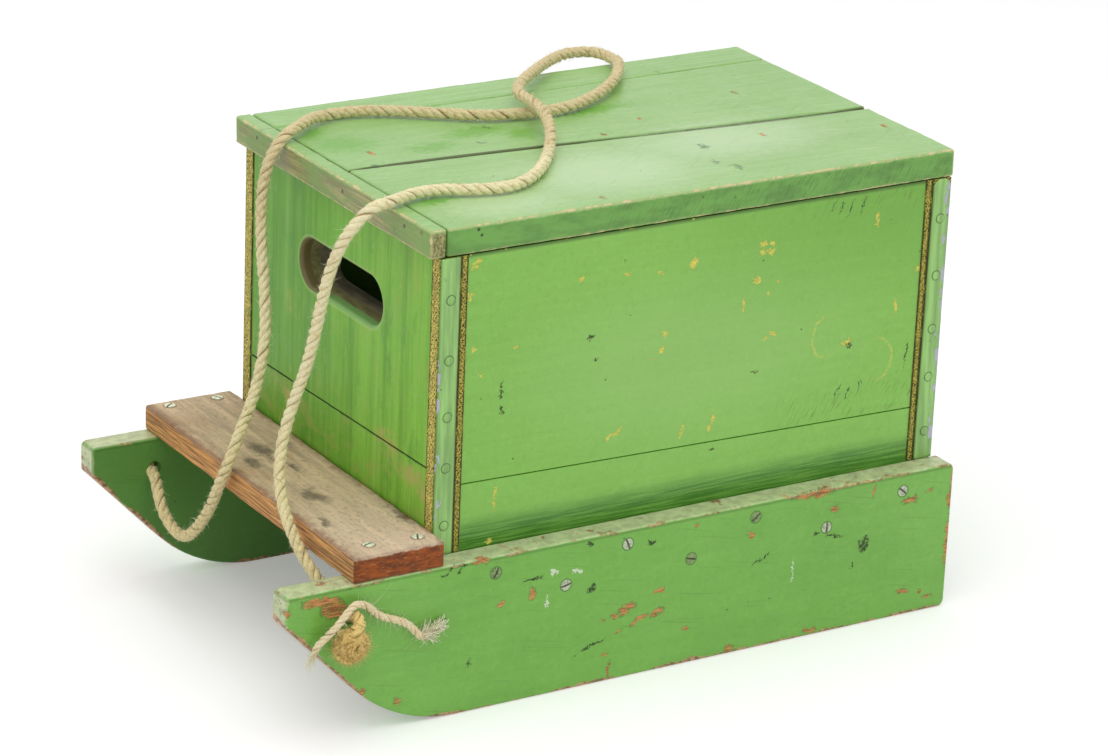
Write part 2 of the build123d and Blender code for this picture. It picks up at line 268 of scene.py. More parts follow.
def turned(profile, centre, axis, sides=24):
    """A profile of (radius, height) pairs carried round an axis, its ends closed by fans."""
    axis = np.array(axis, float)
    across = np.cross(axis, (0.0, 0.0, 1.0) if abs(axis[2]) < 0.9 else (1.0, 0.0, 0.0))
    across /= np.linalg.norm(across)
    up = np.cross(axis, across)
    angle = np.linspace(0, 2 * np.pi, sides, endpoint=False)
    ring = np.cos(angle)[:, None] * across + np.sin(angle)[:, None] * up
    profile = np.array(profile)
    points = profile[:, 0, None, None] * ring + profile[:, 1, None, None] * axis + np.array(centre)
    points = points.reshape(-1, 3)
    faces = grid_quads(len(profile), sides, columns_closed=True)[0].tolist()
    faces += [list(range(sides))[::-1], list(range(len(points) - sides, len(points)))]
    return points, faces


def slotted_head(centre, normal, radius, turn, rise=0.0007, slot=0.0014):
    """A screw head: a square grid squeezed into a disc by the square root of 1 - x^2.

    It is low where x is in the slot. Returns its points, its faces and, for each point, whether it is
    in the slot.
    """
    half = slot / 2 / radius
    x = np.array([-1, -0.97, -0.88, -0.7, -0.45, -half - 0.05, -half])
    x = np.concatenate([x, -x[::-1]])
    y = np.array([-1, -0.97, -0.88, -0.65, -0.35, 0, 0.35, 0.65, 0.88, 0.97, 1])
    a, b = np.meshgrid(x, y, indexing="ij")
    b = b * np.sqrt(np.maximum(1 - a * a, 0))
    height = rise * (1 - (a * a + b * b) ** 2)
    cut = np.abs(a) < half + 1e-6
    height[cut] = np.minimum(height[cut], rise * 0.25)
    normal = np.array(normal, float)
    side = np.cross(normal, (0.0, 0.0, 1.0) if abs(normal[2]) < 0.9 else (1.0, 0.0, 0.0))
    side /= np.linalg.norm(side)
    up = np.cross(normal, side)
    u = math.cos(turn) * side + math.sin(turn) * up
    v = -math.sin(turn) * side + math.cos(turn) * up
    top = (a[..., None] * u + b[..., None] * v) * radius + height[..., None] * normal + np.array(centre)
    base = (a[..., None] * u + b[..., None] * v) * radius * 0.8 - 0.0012 * normal + np.array(centre)
    quads = grid_quads(*a.shape)[0]
    rows, columns = a.shape
    edge = np.concatenate([
        np.arange(columns), np.arange(1, rows) * columns + columns - 1,
        (rows - 1) * columns + np.arange(columns - 2, -1, -1), np.arange(rows - 2, 0, -1) * columns,
    ])
    after = np.roll(edge, -1)
    rim = np.stack([edge, after, after + rows * columns, edge + rows * columns], 1)
    points = np.concatenate([top.reshape(-1, 3), base.reshape(-1, 3)])
    faces = np.concatenate([quads, quads[:, ::-1] + rows * columns, rim])
    return points, faces, np.concatenate([cut.ravel(), cut.ravel()]).astype(np.float32)


def domed_strip(low, high, way, base, round_top):
    """A metal strip: a ring of points across it, carried from its foot to its top.

    Its front bulges by 1 - |x|^5 with slow waves. Its width varies a little, and shrinks as a
    square root towards a rounded top.
    """
    front_points, back_points = 25, 7
    across = np.concatenate([np.linspace(-1, 1, front_points), np.linspace(1, -1, back_points)[1:-1]])
    a, b = np.meshgrid(np.linspace(low[2], high[2], 90), across, indexing="ij")
    width = (high[0] - low[0]) / 2 * (1 - 0.015 * (1 + unevenness(np.stack([a * 0, a, a * 0], -1), 22, 71)))
    if round_top:
        width = width * np.sqrt(np.clip((high[2] + 0.0006 - a) / 0.005, 0.02, 1.0))
    waves = 1 + 0.12 * unevenness(np.stack([a, b * 0.01, b * 0], -1), 60, 72)
    dome = 0.0004 + 0.0011 * (1 - np.abs(b) ** 5) * waves
    depth = np.where(np.arange(len(across)) < front_points, dome, 0.0)
    points = np.stack([(low[0] + high[0]) / 2 + width * b, way * (base + depth), a], -1).reshape(-1, 3)
    faces = grid_quads(*a.shape, columns_closed=True)[0].tolist()
    columns = len(across)
    faces += [list(range(columns)), list(range(len(points) - columns, len(points)))[::-1]]
    return points, faces


def centreline(name, route):
    """Points read from a smooth spline with the route's points as its control points."""
    curve = bpy.data.curves.new(name + "_line", "CURVE")
    curve.dimensions = "3D"
    curve.resolution_u = 10
    spline = curve.splines.new("NURBS")
    spline.points.add(len(route) - 1)
    spline.points.foreach_set("co", np.column_stack([route, np.ones(len(route))]).ravel())
    spline.order_u = 3
    spline.use_endpoint_u = True
    line = bpy.data.objects.new(name + "_line", curve)
    mesh = bpy.data.meshes.new_from_object(line)
    points = np.zeros(len(mesh.vertices) * 3)
    mesh.vertices.foreach_get("co", points)
    bpy.data.objects.remove(line)
    bpy.data.curves.remove(curve)
    bpy.data.meshes.remove(mesh)
    return points.reshape(-1, 3)


def evenly(points, step):
    """The same line with its points a fixed step apart, and how far along each one is."""
    along = np.concatenate([[0], np.cumsum(np.linalg.norm(np.diff(points, axis=0), axis=1))])
    wanted = np.linspace(0, along[-1], int(round(along[-1] / step)) + 1)
    return np.column_stack([np.interp(wanted, along, points[:, k]) for k in range(3)]), wanted


def unit(vectors):
    return vectors / np.maximum(np.linalg.norm(vectors, axis=-1, keepdims=True), 1e-12)


def carried_frames(points):
    """Side and up directions that follow a path without turning about it."""
    along = unit(np.gradient(points, axis=0))
    side = np.zeros_like(points)
    start = np.cross(along[0], (0.0, 0.0, 1.0))
    if np.linalg.norm(start) < 0.1:
        start = np.cross(along[0], (1.0, 0.0, 0.0))
    side[0] = start / np.linalg.norm(start)
    for i in range(1, len(points)):
        flat = side[i - 1] - along[i] * np.dot(side[i - 1], along[i])
        side[i] = flat / np.linalg.norm(flat)
    return along, side, np.cross(along, side)


def tube(line, radius, sides, run):
    """A ring of a given radius carried along a line; run is the UV along it."""
    _, side, up = carried_frames(line)
    angle = np.linspace(0, 2 * np.pi, sides, endpoint=False)[:, None]
    ring = np.cos(angle) * side[:, None] + np.sin(angle) * up[:, None]
    points = (line[:, None] + ring * radius[:, None, None]).reshape(-1, 3)
    quads, corners = grid_quads(len(line), sides, columns_closed=True)
    uv = np.stack([run[corners[..., 0]], corners[..., 1] / sides], -1).reshape(-1, 2)
    return points, quads, uv


def laid_rope(line, run, diameter, lay, strands, seed, sides, taper=1.0):
    """Strands that wind round a line: each keeps a fixed distance from it and turns once in a lay.

    The strands are drawn fuller than round ones that just touch, as soft yarn packs.
    """
    share = 1 / (1 + 1 / math.sin(math.pi / strands))
    fuller = 1.16
    strand_radius = diameter / 2 * share * fuller
    reach = diameter / 2 - strand_radius
    _, side, up = carried_frames(line)
    points, faces, uv, start = [], [], [], 0
    for k in range(strands):
        loose = unevenness(np.column_stack([run, np.full_like(run, k * 3.1), run * 0]), 40, seed)
        angle = 2 * np.pi * (run / lay + k / strands) + 0.35 * loose
        away = np.cos(angle)[:, None] * side + np.sin(angle)[:, None] * up
        path = line + away * (reach * taper * (1 + 0.05 * loose))[:, None]
        radius = strand_radius * taper * (1 + 0.05 * unevenness(path, 260, seed + k + 1))
        strand_points, quads, strand_uv = tube(path, radius, sides, run)
        points.append(strand_points)
        faces += (quads + start).tolist()
        count = len(strand_points)
        faces += [list(range(start, start + sides))[::-1], list(range(start + count - sides, start + count))]
        uv += [strand_uv, np.zeros((2 * sides, 2))]
        start += count
    return np.concatenate(points), faces, np.concatenate(uv)


def groove_depth(points, line, strands, diameter, taper=1.0):
    """How deep each point of a laid rope lies between its strands: 0 outside, 1 near the middle."""
    out = np.linalg.norm(points.reshape(strands, len(line), -1, 3) - line[None, :, None], axis=-1)
    out = out / (diameter / 2 * np.broadcast_to(taper, len(line)))[None, :, None]
    return np.clip(1 - (out.ravel() - 0.45) / 0.5, 0, 1)


def add_cord(coats, depths, line, run, diameter, lay, seed, sides, taper=1.0):
    """Adds a three-strand cord to the parts of a knot, with how deep its points lie in the grooves."""
    points, faces = laid_rope(line, run, diameter, lay, 3, seed, sides=sides, taper=taper)[:2]
    coats.append((points, faces))
    depths.append(groove_depth(points, line, 3, diameter, taper))


def store(piece, name, values):
    """Keeps one number for each point of a mesh under a name that materials read."""
    layer = piece.data.attributes.new(name, "FLOAT", "POINT")
    layer.data.foreach_set("value", np.asarray(values, np.float32))


def keep_between(piece, way, near, far):
    """Holds a mesh between two distances from the middle plane, on the side that way names."""
    points = np.zeros(len(piece.data.vertices) * 3)
    piece.data.vertices.foreach_get("co", points)
    points = points.reshape(-1, 3)
    points[:, 1] = way * np.clip(way * points[:, 1], near, far)
    piece.data.vertices.foreach_set("co", points.ravel())


def hairs(roots, directions, lengths, width, curl, seed, segments=4, tip=0.15):
    """Fine tapering hairs with three sides: each starts at its root and bends by a random curl."""
    chance = np.random.default_rng(seed)
    count = len(roots)
    bend = unit(chance.normal(size=(count, 3))) * curl
    share = np.linspace(0, 1, segments + 1)[None, :, None]
    line = roots[:, None] + (directions[:, None] * share + bend[:, None] * share**2) * lengths[:, None, None]
    across = unit(np.cross(directions, chance.normal(size=(count, 3))))
    other = np.cross(directions, across)
    angle = np.arange(3) * 2 * np.pi / 3
    ring = np.cos(angle)[None, :, None] * across[:, None] + np.sin(angle)[None, :, None] * other[:, None]
    thick = (width / 2 * (1 - (1 - tip) * share))[..., None]
    points = line[:, :, None] + ring[:, None] * thick
    quads = grid_quads(segments + 1, 3, columns_closed=True)[0]
    per = (segments + 1) * 3
    faces = (quads[None] + (np.arange(count) * per)[:, None, None]).reshape(-1, 4).tolist()
    ends = np.arange(count)[:, None] * per
    faces += (ends + np.array([2, 1, 0])).tolist() + (ends + per - 3 + np.array([0, 1, 2])).tolist()
    return points.reshape(-1, 3), faces


# Node trees


def linear(colour):
    """A colour as the eye sees it, turned into the one that light is worked out with."""
    c = np.array(colour[:3])
    return (*np.where(c <= 0.04045, c / 12.92, ((c + 0.055) / 1.055) ** 2.4), 1.0)


def brightened(colour, factor):
    return tuple(min(1.0, channel * factor) for channel in colour[:3])


class Tree:
    """Adds nodes to one node tree: a socket given as an input is linked, a value is set."""

    def __init__(self, tree):
        self.tree = tree

    def put(self, socket, value):
        if isinstance(value, bpy.types.NodeSocket):
            self.tree.links.new(value, socket)
        elif value is not None:
            if socket.type == "RGBA":
                value = (*value[:3], 1.0)
            socket.default_value = value

    def add(self, kind, inputs=None, **settings):
        node = self.tree.nodes.new(kind)
        for key, value in settings.items():
            setattr(node, key, value)
        for key, value in (inputs or {}).items():
            self.put(node.inputs[key], value)
        return node

    def group(self, name, **inputs):
        node = self.tree.nodes.new("ShaderNodeGroup")
        node.node_tree = bpy.data.node_groups[name]
        for key, value in inputs.items():
            self.put(node.inputs[key.replace("_", " ")], value)
        return node.outputs

    def math(self, operation, *values, clamp=False):
        inputs = dict(enumerate(values))
        return self.add("ShaderNodeMath", inputs, operation=operation, use_clamp=clamp).outputs[0]

    def plus(self, first, second):
        return self.math("ADD", first, second)

    def minus(self, first, second, clamp=False):
        return self.math("SUBTRACT", first, second, clamp=clamp)

    def times(self, first, second):
        return self.math("MULTIPLY", first, second)

    def times_plus(self, first, second, third):
        return self.math("MULTIPLY_ADD", first, second, third)

    def absolute(self, value):
        return self.math("ABSOLUTE", value)

    def most(self, first, second):
        return self.math("MAXIMUM", first, second)

    def least(self, first, second):
        return self.math("MINIMUM", first, second)

    def vector(self, operation, *values):
        node = self.add("ShaderNodeVectorMath", dict(enumerate(values)), operation=operation)
        return node.outputs[1 if operation in ("LENGTH", "DOT_PRODUCT") else 0]

    def scaled(self, vector, factors):
        return self.vector("MULTIPLY", vector, factors)

    def mix(self, factor, first, second):
        """Blends two colours; one given as numbers is as the eye sees it, and is turned linear."""
        first, second = (
            colour if isinstance(
                colour, bpy.types.NodeSocket
            ) else linear(colour) for colour in (first, second)
        )
        return self.add("ShaderNodeMix", {0: factor, 6: first, 7: second}, data_type="RGBA").outputs[2]

    def tint(self, tone, value, low, high, amount, colour):
        """Turns a tone towards a colour by up to an amount, as a value goes from low to high."""
        return self.mix(self.fade(value, low, high, 0.0, amount), tone, colour)

    def shades(self, value, low, high, colour, dark, bright):
        """A colour that goes from darker to brighter as a value goes from low to high."""
        return self.mix(self.fade(value, low, high), brightened(colour, dark), brightened(colour, bright))

    def named(self, name):
        """The number that a mesh keeps for each of its points under a name."""
        node = self.add("ShaderNodeAttribute", attribute_name=name, attribute_type="GEOMETRY")
        return node.outputs["Fac"]

    def fade(self, value, low, high, start=0.0, end=1.0):
        """Goes smoothly from start to end as a value goes from low to high."""
        inputs = {"Value": value, "From Min": low, "From Max": high, "To Min": start, "To Max": end}
        return self.add("ShaderNodeMapRange", inputs, interpolation_type="SMOOTHSTEP").outputs[0]

    def noise(self, place, scale, detail=2.0, roughness=0.5, output=0):
        inputs = {"Vector": place, "Scale": scale, "Detail": detail, "Roughness": roughness}
        return self.add("ShaderNodeTexNoise", inputs).outputs[output]

    def drawn_out(self, place, factors, detail, roughness):
        """Noise that is drawn out along the axes whose factors are small."""
        return self.noise(self.scaled(place, factors), 1.0, detail, roughness)

    def object_place(self):
        return self.add("ShaderNodeTexCoord").outputs["Object"]

    def split(self, vector):
        return self.add("ShaderNodeSeparateXYZ", {0: vector}).outputs


def new_group(name, inputs, outputs):
    """A shader node group with named sockets, as a Tree with its input and output nodes."""
    group = bpy.data.node_groups.new(name, "ShaderNodeTree")
    for label, kind, default in inputs:
        socket = group.interface.new_socket(label, in_out="INPUT", socket_type="NodeSocket" + kind)
        socket.default_value = default
    for label, kind in outputs:
        group.interface.new_socket(label, in_out="OUTPUT", socket_type="NodeSocket" + kind)
    tree = Tree(group)
    return tree, tree.add("NodeGroupInput").outputs, tree.add("NodeGroupOutput").inputs


def make_groups():
    """The effects that several materials share."""
    t, i, o = new_group(
        "Board Edges",
        [
            ("Low", "Vector", (0, 0, 0)), ("High", "Vector", (1, 1, 1)), ("Width", "Float", 0.004),
            ("Ragged", "Float", 0.003),
        ],
        [("Near", "Float")],
    )
    place = t.object_place()
    from_low, to_high = t.vector("SUBTRACT", place, i["Low"]), t.vector("SUBTRACT", i["High"], place)
    gaps = t.split(t.vector("MINIMUM", from_low, to_high))
    second = t.most(t.least(gaps[0], gaps[1]), t.least(t.most(gaps[0], gaps[1]), gaps[2]))
    rough = t.minus(t.noise(place, 160, 3, 0.6), 0.5)
    distance = t.times_plus(rough, i["Ragged"], second)
    ratio = t.math("DIVIDE", distance, i["Width"])
    t.put(o["Near"], t.fade(ratio, 0.0, 1.0, 1.0, 0.0))

    t, i, o = new_group(
        "Chips",
        [
            ("Near", "Float", 0.0), ("Amount", "Float", 0.2), ("Scale", "Float", 120.0),
            ("Level", "Float", 0.6),
        ],
        [("Chip", "Float"), ("Rim", "Float")],
    )
    ragged = t.noise(t.object_place(), i["Scale"], 4, 0.62)
    lifted = t.minus(t.times_plus(i["Near"], i["Amount"], ragged), i["Level"])
    chip = t.fade(lifted, 0.0, 0.015)
    t.put(o["Chip"], chip)
    t.put(o["Rim"], t.minus(t.fade(lifted, -0.03, 0.0), chip, clamp=True))

    t, i, o = new_group(
        "Brush Marks", [("Stretch", "Vector", (10, 10, 300))], [("Tone", "Float"), ("Height", "Float")]
    )
    place = t.object_place()
    t.put(o["Tone"], t.drawn_out(place, i["Stretch"], 3, 0.6))
    fine = t.scaled(place, t.scaled(i["Stretch"], (2.6, 2.6, 2.6)))
    t.put(o["Height"], t.noise(fine, 1.0, 2, 0.6))

    t, i, o = new_group(
        "Mark",
        [
            ("Place", "Vector", (0, 0, 0)), ("Centre", "Vector", (0, 0, 0)),
            ("Half", "Vector", (0.01, 0.01, 0.01)), ("Axis", "Vector", (0, 1, 0)), ("Angle", "Float", 0.0),
        ],
        [("Reach", "Float")],
    )
    offset = t.vector("SUBTRACT", i["Place"], i["Centre"])
    inputs = {"Vector": offset, "Axis": i["Axis"], "Angle": i["Angle"]}
    turned_offset = t.add("ShaderNodeVectorRotate", inputs, rotation_type="AXIS_ANGLE").outputs[0]
    t.put(o["Reach"], t.vector("LENGTH", t.vector("DIVIDE", turned_offset, i["Half"])))

    t, i, o = new_group(
        "Saw Marks",
        [("Across", "Vector", (500, 0, 300)), ("Along", "Vector", (-20, 0, 40)), ("Level", "Float", 0.6)],
        [("Mask", "Float")],
    )
    place = t.object_place()
    inputs = {0: t.vector("DOT_PRODUCT", place, i["Across"]), 1: t.vector("DOT_PRODUCT", place, i["Along"])}
    lines = t.noise(t.add("ShaderNodeCombineXYZ", inputs).outputs[0], 1.0, 1, 0.5)
    t.put(o["Mask"], t.fade(t.minus(lines, i["Level"]), 0.0, 0.09))

    t, i, o = new_group(
        "Ragged Place",
        [("Coarse", "Float", 0.009), ("Fine", "Float", 0.0065)],
        [("Place", "Vector")],
    )
    place = t.object_place()
    shift = place
    for scale, amount in ((140.0, i["Coarse"]), (620.0, i["Fine"])):
        push = t.vector("SUBTRACT", t.noise(place, scale, 2, 0.5, output=1), (0.5, 0.5, 0.5))
        reach = t.add("ShaderNodeCombineXYZ", {0: amount, 1: amount, 2: amount}).outputs[0]
        shift = t.vector("ADD", shift, t.scaled(push, reach))
    t.put(o["Place"], shift)

    t, i, o = new_group(
        "Specks",
        [("Scale", "Float", 120.0), ("Size", "Float", 0.12), ("Share", "Float", 0.1)],
        [("Mask", "Float")],
    )
    cells = t.add("ShaderNodeTexVoronoi", {"Vector": t.object_place(), "Scale": i["Scale"]})
    chance = t.add("ShaderNodeSeparateColor", {0: cells.outputs["Color"]}).outputs[0]
    chosen = t.math("LESS_THAN", chance, i["Share"])
    inside = t.fade(t.math("DIVIDE", cells.outputs["Distance"], i["Size"]), 0.6, 1.0, 1.0, 0.0)
    t.put(o["Mask"], t.times(chosen, inside))

    t, i, o = new_group(
        "Wood Grain",
        [("Stretch", "Vector", (20, 4, 20)), ("Scale", "Float", 1.0)],
        [("Tone", "Float"), ("Line", "Float")],
    )
    place = t.scaled(t.object_place(), i["Stretch"])
    bent = t.vector("ADD", place, t.scaled(t.noise(place, 0.5, 2, 0.5, output=1), (1.2, 1.2, 1.2)))
    t.put(o["Tone"], t.noise(bent, i["Scale"], 4, 0.65))
    t.put(o["Line"], t.noise(bent, t.times(i["Scale"], 5.0), 3, 0.7))

    t, i, o = new_group(
        "Twisted Fibre",
        [("Yarns", "Float", 5.0), ("Turns", "Float", 60.0)],
        [("Tone", "Float"), ("Height", "Float")],
    )
    uv = t.split(t.add("ShaderNodeTexCoord").outputs["UV"])
    phase = t.plus(t.times(uv[0], i["Turns"]), t.times(uv[1], i["Yarns"]))
    wobble = t.noise(t.object_place(), 320, 2, 0.6)
    wave = t.math("SINE", t.times(t.times_plus(wobble, 0.8, phase), 2 * math.pi))
    fine = t.noise(t.object_place(), 1500, 2, 0.7)
    t.put(o["Height"], t.times_plus(fine, 0.7, t.times_plus(wave, 0.22, 0.3)))
    t.put(o["Tone"], t.noise(t.object_place(), 210, 3, 0.65))


def new_material(name):
    material = bpy.data.materials.new(name)
    material.use_nodes = True
    material.node_tree.nodes.clear()
    t = Tree(material.node_tree)
    shader = t.add("ShaderNodeBsdfPrincipled")
    output = t.add("ShaderNodeOutputMaterial")
    t.tree.links.new(shader.outputs[0], output.inputs[0])
    return material, t, shader.inputs


def bump(t, shader, height, strength, distance):
    node = t.add("ShaderNodeBump", {"Strength": strength, "Distance": distance, "Height": height})
    t.put(shader["Normal"], node.outputs[0])


def mm(*numbers):
    return tuple(number / 1000 for number in numbers)


def marks(t, place, places, axis, depth=6):
    """How far each point is from the nearest of several marks: below 1 is inside one.

    A mark is (x, y, z, half width, half height, turn in degrees) in millimetres.
    """
    nearest = None
    for x, y, z, wide, high, turn in places:
        half = [wide, high]
        half.insert(axis.index(1), depth)
        reach = t.group(
            "Mark", Place=place, Centre=mm(x, y, z), Half=mm(*half), Axis=axis, Angle=math.radians(turn)
        )["Reach"]
        nearest = reach if nearest is None else t.least(nearest, reach)
    return nearest


def rings(t, place, places, axis, width):
    """A mask of thin rings, each (x, y, z, half width, half height, turn in degrees) in millimetres."""
    nearest = None
    for mark in places:
        off = t.absolute(t.minus(marks(t, place, (mark,), axis, 60), 1.0))
        nearest = off if nearest is None else t.least(nearest, off)
    return t.fade(nearest, width * 0.4, width, 1.0, 0.0)


def soft(t, place, places, axis):
    """A mask of broad patches that fade out from their middles."""
    return t.fade(marks(t, place, places, axis, 60), 0.2, 1.15, 1.0, 0.0)


def mirrored(tables, way):
    """Tables of marks for the left side, or for the right one when way is -1."""
    return {key: tuple((x, way * y, *rest) for x, y, *rest in places) for key, places in tables.items()}


def painted(
    name, colour, box, brush, shade, axis=(0, 1, 0), bare=None,
    edge=0.004, edge_amount=0.35, edge_colour=None, edge_tone=0.5, chip_scale=130,
    gloss=0.42, streak=0.12, speck=0.06, blotch=0.2, mark_floor=0.15,
    yellow=(), wood=(), dark=(), faint=(), pale=(), scuffs=(), screw_dirt_and_shade=(),
):
    """Old brushed paint on a board: uneven tone, rubbed and chipped edges, marks where the board has them.

    brush is how fine the strokes are along each axis, axis is the way that the marked face looks, and
    shade(t, tone) adds the board's own tones with its painted light and shade. The last row of the arguments
    holds tables of marks.
    """
    paint = bpy.context.scene.sled_paint
    material, t, shader = new_material(name)
    place = t.object_place()
    mottle = 0.3
    light = brightened(colour, 1.10)
    deep = (colour[0] * 0.80, colour[1] * 0.90, colour[2] * 0.66)
    tone = t.mix(t.fade(t.noise(place, 9, 3, 0.6), 0.3, 0.7), deep, light)
    tone = t.mix(1.0 - blotch, tone, colour)
    tone = t.tint(tone, t.noise(place, 3.6, 2, 0.5), 0.38, 0.66, blotch * 1.3, deep)
    tone = t.tint(tone, t.noise(place, 190, 4, 0.75), 0.5, 0.66, mottle, deep)
    tone = t.tint(tone, t.noise(place, 150, 4, 0.75), 0.5, 0.36, mottle * 0.8, light)
    strokes = t.group("Brush Marks", Stretch=brush)
    tone = t.tint(tone, strokes["Tone"], 0.35, 0.7, streak * 3, light)
    tone = t.tint(tone, strokes["Tone"], 0.62, 0.3, streak * 3, deep)
    tone = shade(t, tone)
    near = t.group("Board Edges", Low=box[0], High=box[1], Width=edge, Ragged=0.004)["Near"]
    tone = t.mix(t.times(near, edge_tone), tone, edge_colour or brightened(colour, 1.2))
    chipped = t.group("Chips", Near=near, Amount=edge_amount, Scale=chip_scale, Level=0.78)
    # A darker copy of the paint: dirt round chips and marks and on faint smudges, and painted shade in the
    # recesses round screw heads.
    dirt_and_shade = (colour[0] * 0.42, colour[1] * 0.5, colour[2] * 0.4)
    shifted = t.group("Ragged Place")["Place"]
    lines = t.drawn_out(place, (90, 90, 700), 3, 0.65)
    tone = t.mix(t.times(chipped["Rim"], 0.4), tone, dirt_and_shade)
    tone = t.mix(chipped["Chip"], tone, bare or paint.bare_wood)
    broken = chipped["Chip"]
    if pale:
        mask = t.fade(marks(t, shifted, pale, axis), 0.8, 1.0, 0.85, 0.0)
        tone = t.mix(mask, tone, (0.90, 0.92, 0.84))
    for places, mark_colour, rim, low_tone in (
        (yellow, paint.old_yellow, 0.1, 0.9), (wood, paint.bare_wood, 0.5, 0.66)
    ):
        if places:
            reach = marks(t, shifted, places, axis)
            mask = t.fade(reach, 0.85, 1.0, 1.0, 0.0)
            edge_dirt = t.minus(t.fade(reach, 1.0, 1.25, 1.0, 0.0), mask, clamp=True)
            patchy = t.times(mask, t.fade(t.noise(place, 420, 3, 0.7), 0.40, 0.47, mark_floor, 1.0))
            tone = t.mix(t.times(edge_dirt, rim), tone, dirt_and_shade)
            mark_tone = t.shades(lines, 0.35, 0.65, mark_colour, low_tone, 1.06)
            tone = t.mix(patchy, tone, mark_tone)
            broken = t.most(broken, patchy)
    if scuffs:
        bent = t.group("Ragged Place", Coarse=0.006, Fine=0.003)["Place"]
        mask = rings(t, bent, [scuff[:6] for scuff in scuffs], axis, 0.11)
        kept = None
        for x, y, z, _, _, _, toward in scuffs:
            offset = t.split(t.vector("SUBTRACT", place, mm(x, y, z)))[0]
            facing = t.fade(t.times(offset, toward), -0.002, 0.012)
            here = t.times(facing, t.math("LESS_THAN", t.absolute(offset), 0.024))
            kept = here if kept is None else t.most(kept, here)
        thinned = t.fade(t.noise(place, 300, 3, 0.6), 0.4, 0.52)
        mask = t.times(t.times(mask, t.times_plus(kept, 0.42, 0.08)), thinned)
        tone = t.mix(mask, tone, paint.old_yellow)
    if faint:
        mask = t.fade(marks(t, shifted, faint, axis), 0.5, 1.1, 1.0, 0.0)
        mask = t.times(mask, t.fade(t.noise(place, 380, 3, 0.65), 0.40, 0.54, 0.1, 0.85))
        tone = t.mix(mask, tone, dirt_and_shade)
    if dark:
        mask = t.fade(marks(t, shifted, dark, axis), 0.7, 1.05, 1.0, 0.0)
        mask = t.times(mask, t.fade(t.noise(place, 330, 3, 0.65), 0.36, 0.52, 0.2, 0.9))
        tone = t.mix(mask, tone, paint.dirt)
        broken = t.most(broken, mask)
    # A dark ring round each screw head: dirt and painted shade of its recess.
    if screw_dirt_and_shade:
        tone = t.mix(t.times(rings(t, place, screw_dirt_and_shade, axis, 0.16), 0.6), tone, dirt_and_shade)
    specks = t.group("Specks", Scale=95.0, Size=0.11, Share=speck)["Mask"]
    tone = t.mix(t.times(specks, 0.6), tone, paint.dirt)
    t.put(shader["Base Color"], tone)
    rough = t.times_plus(t.noise(place, 60, 3, 0.6), 0.22, gloss - 0.11)
    t.put(shader["Roughness"], t.most(rough, t.times(broken, 0.85)))
    bump(t, shader, t.times_plus(broken, -1.6, strokes["Height"]), 0.35, 0.0006)
    return material


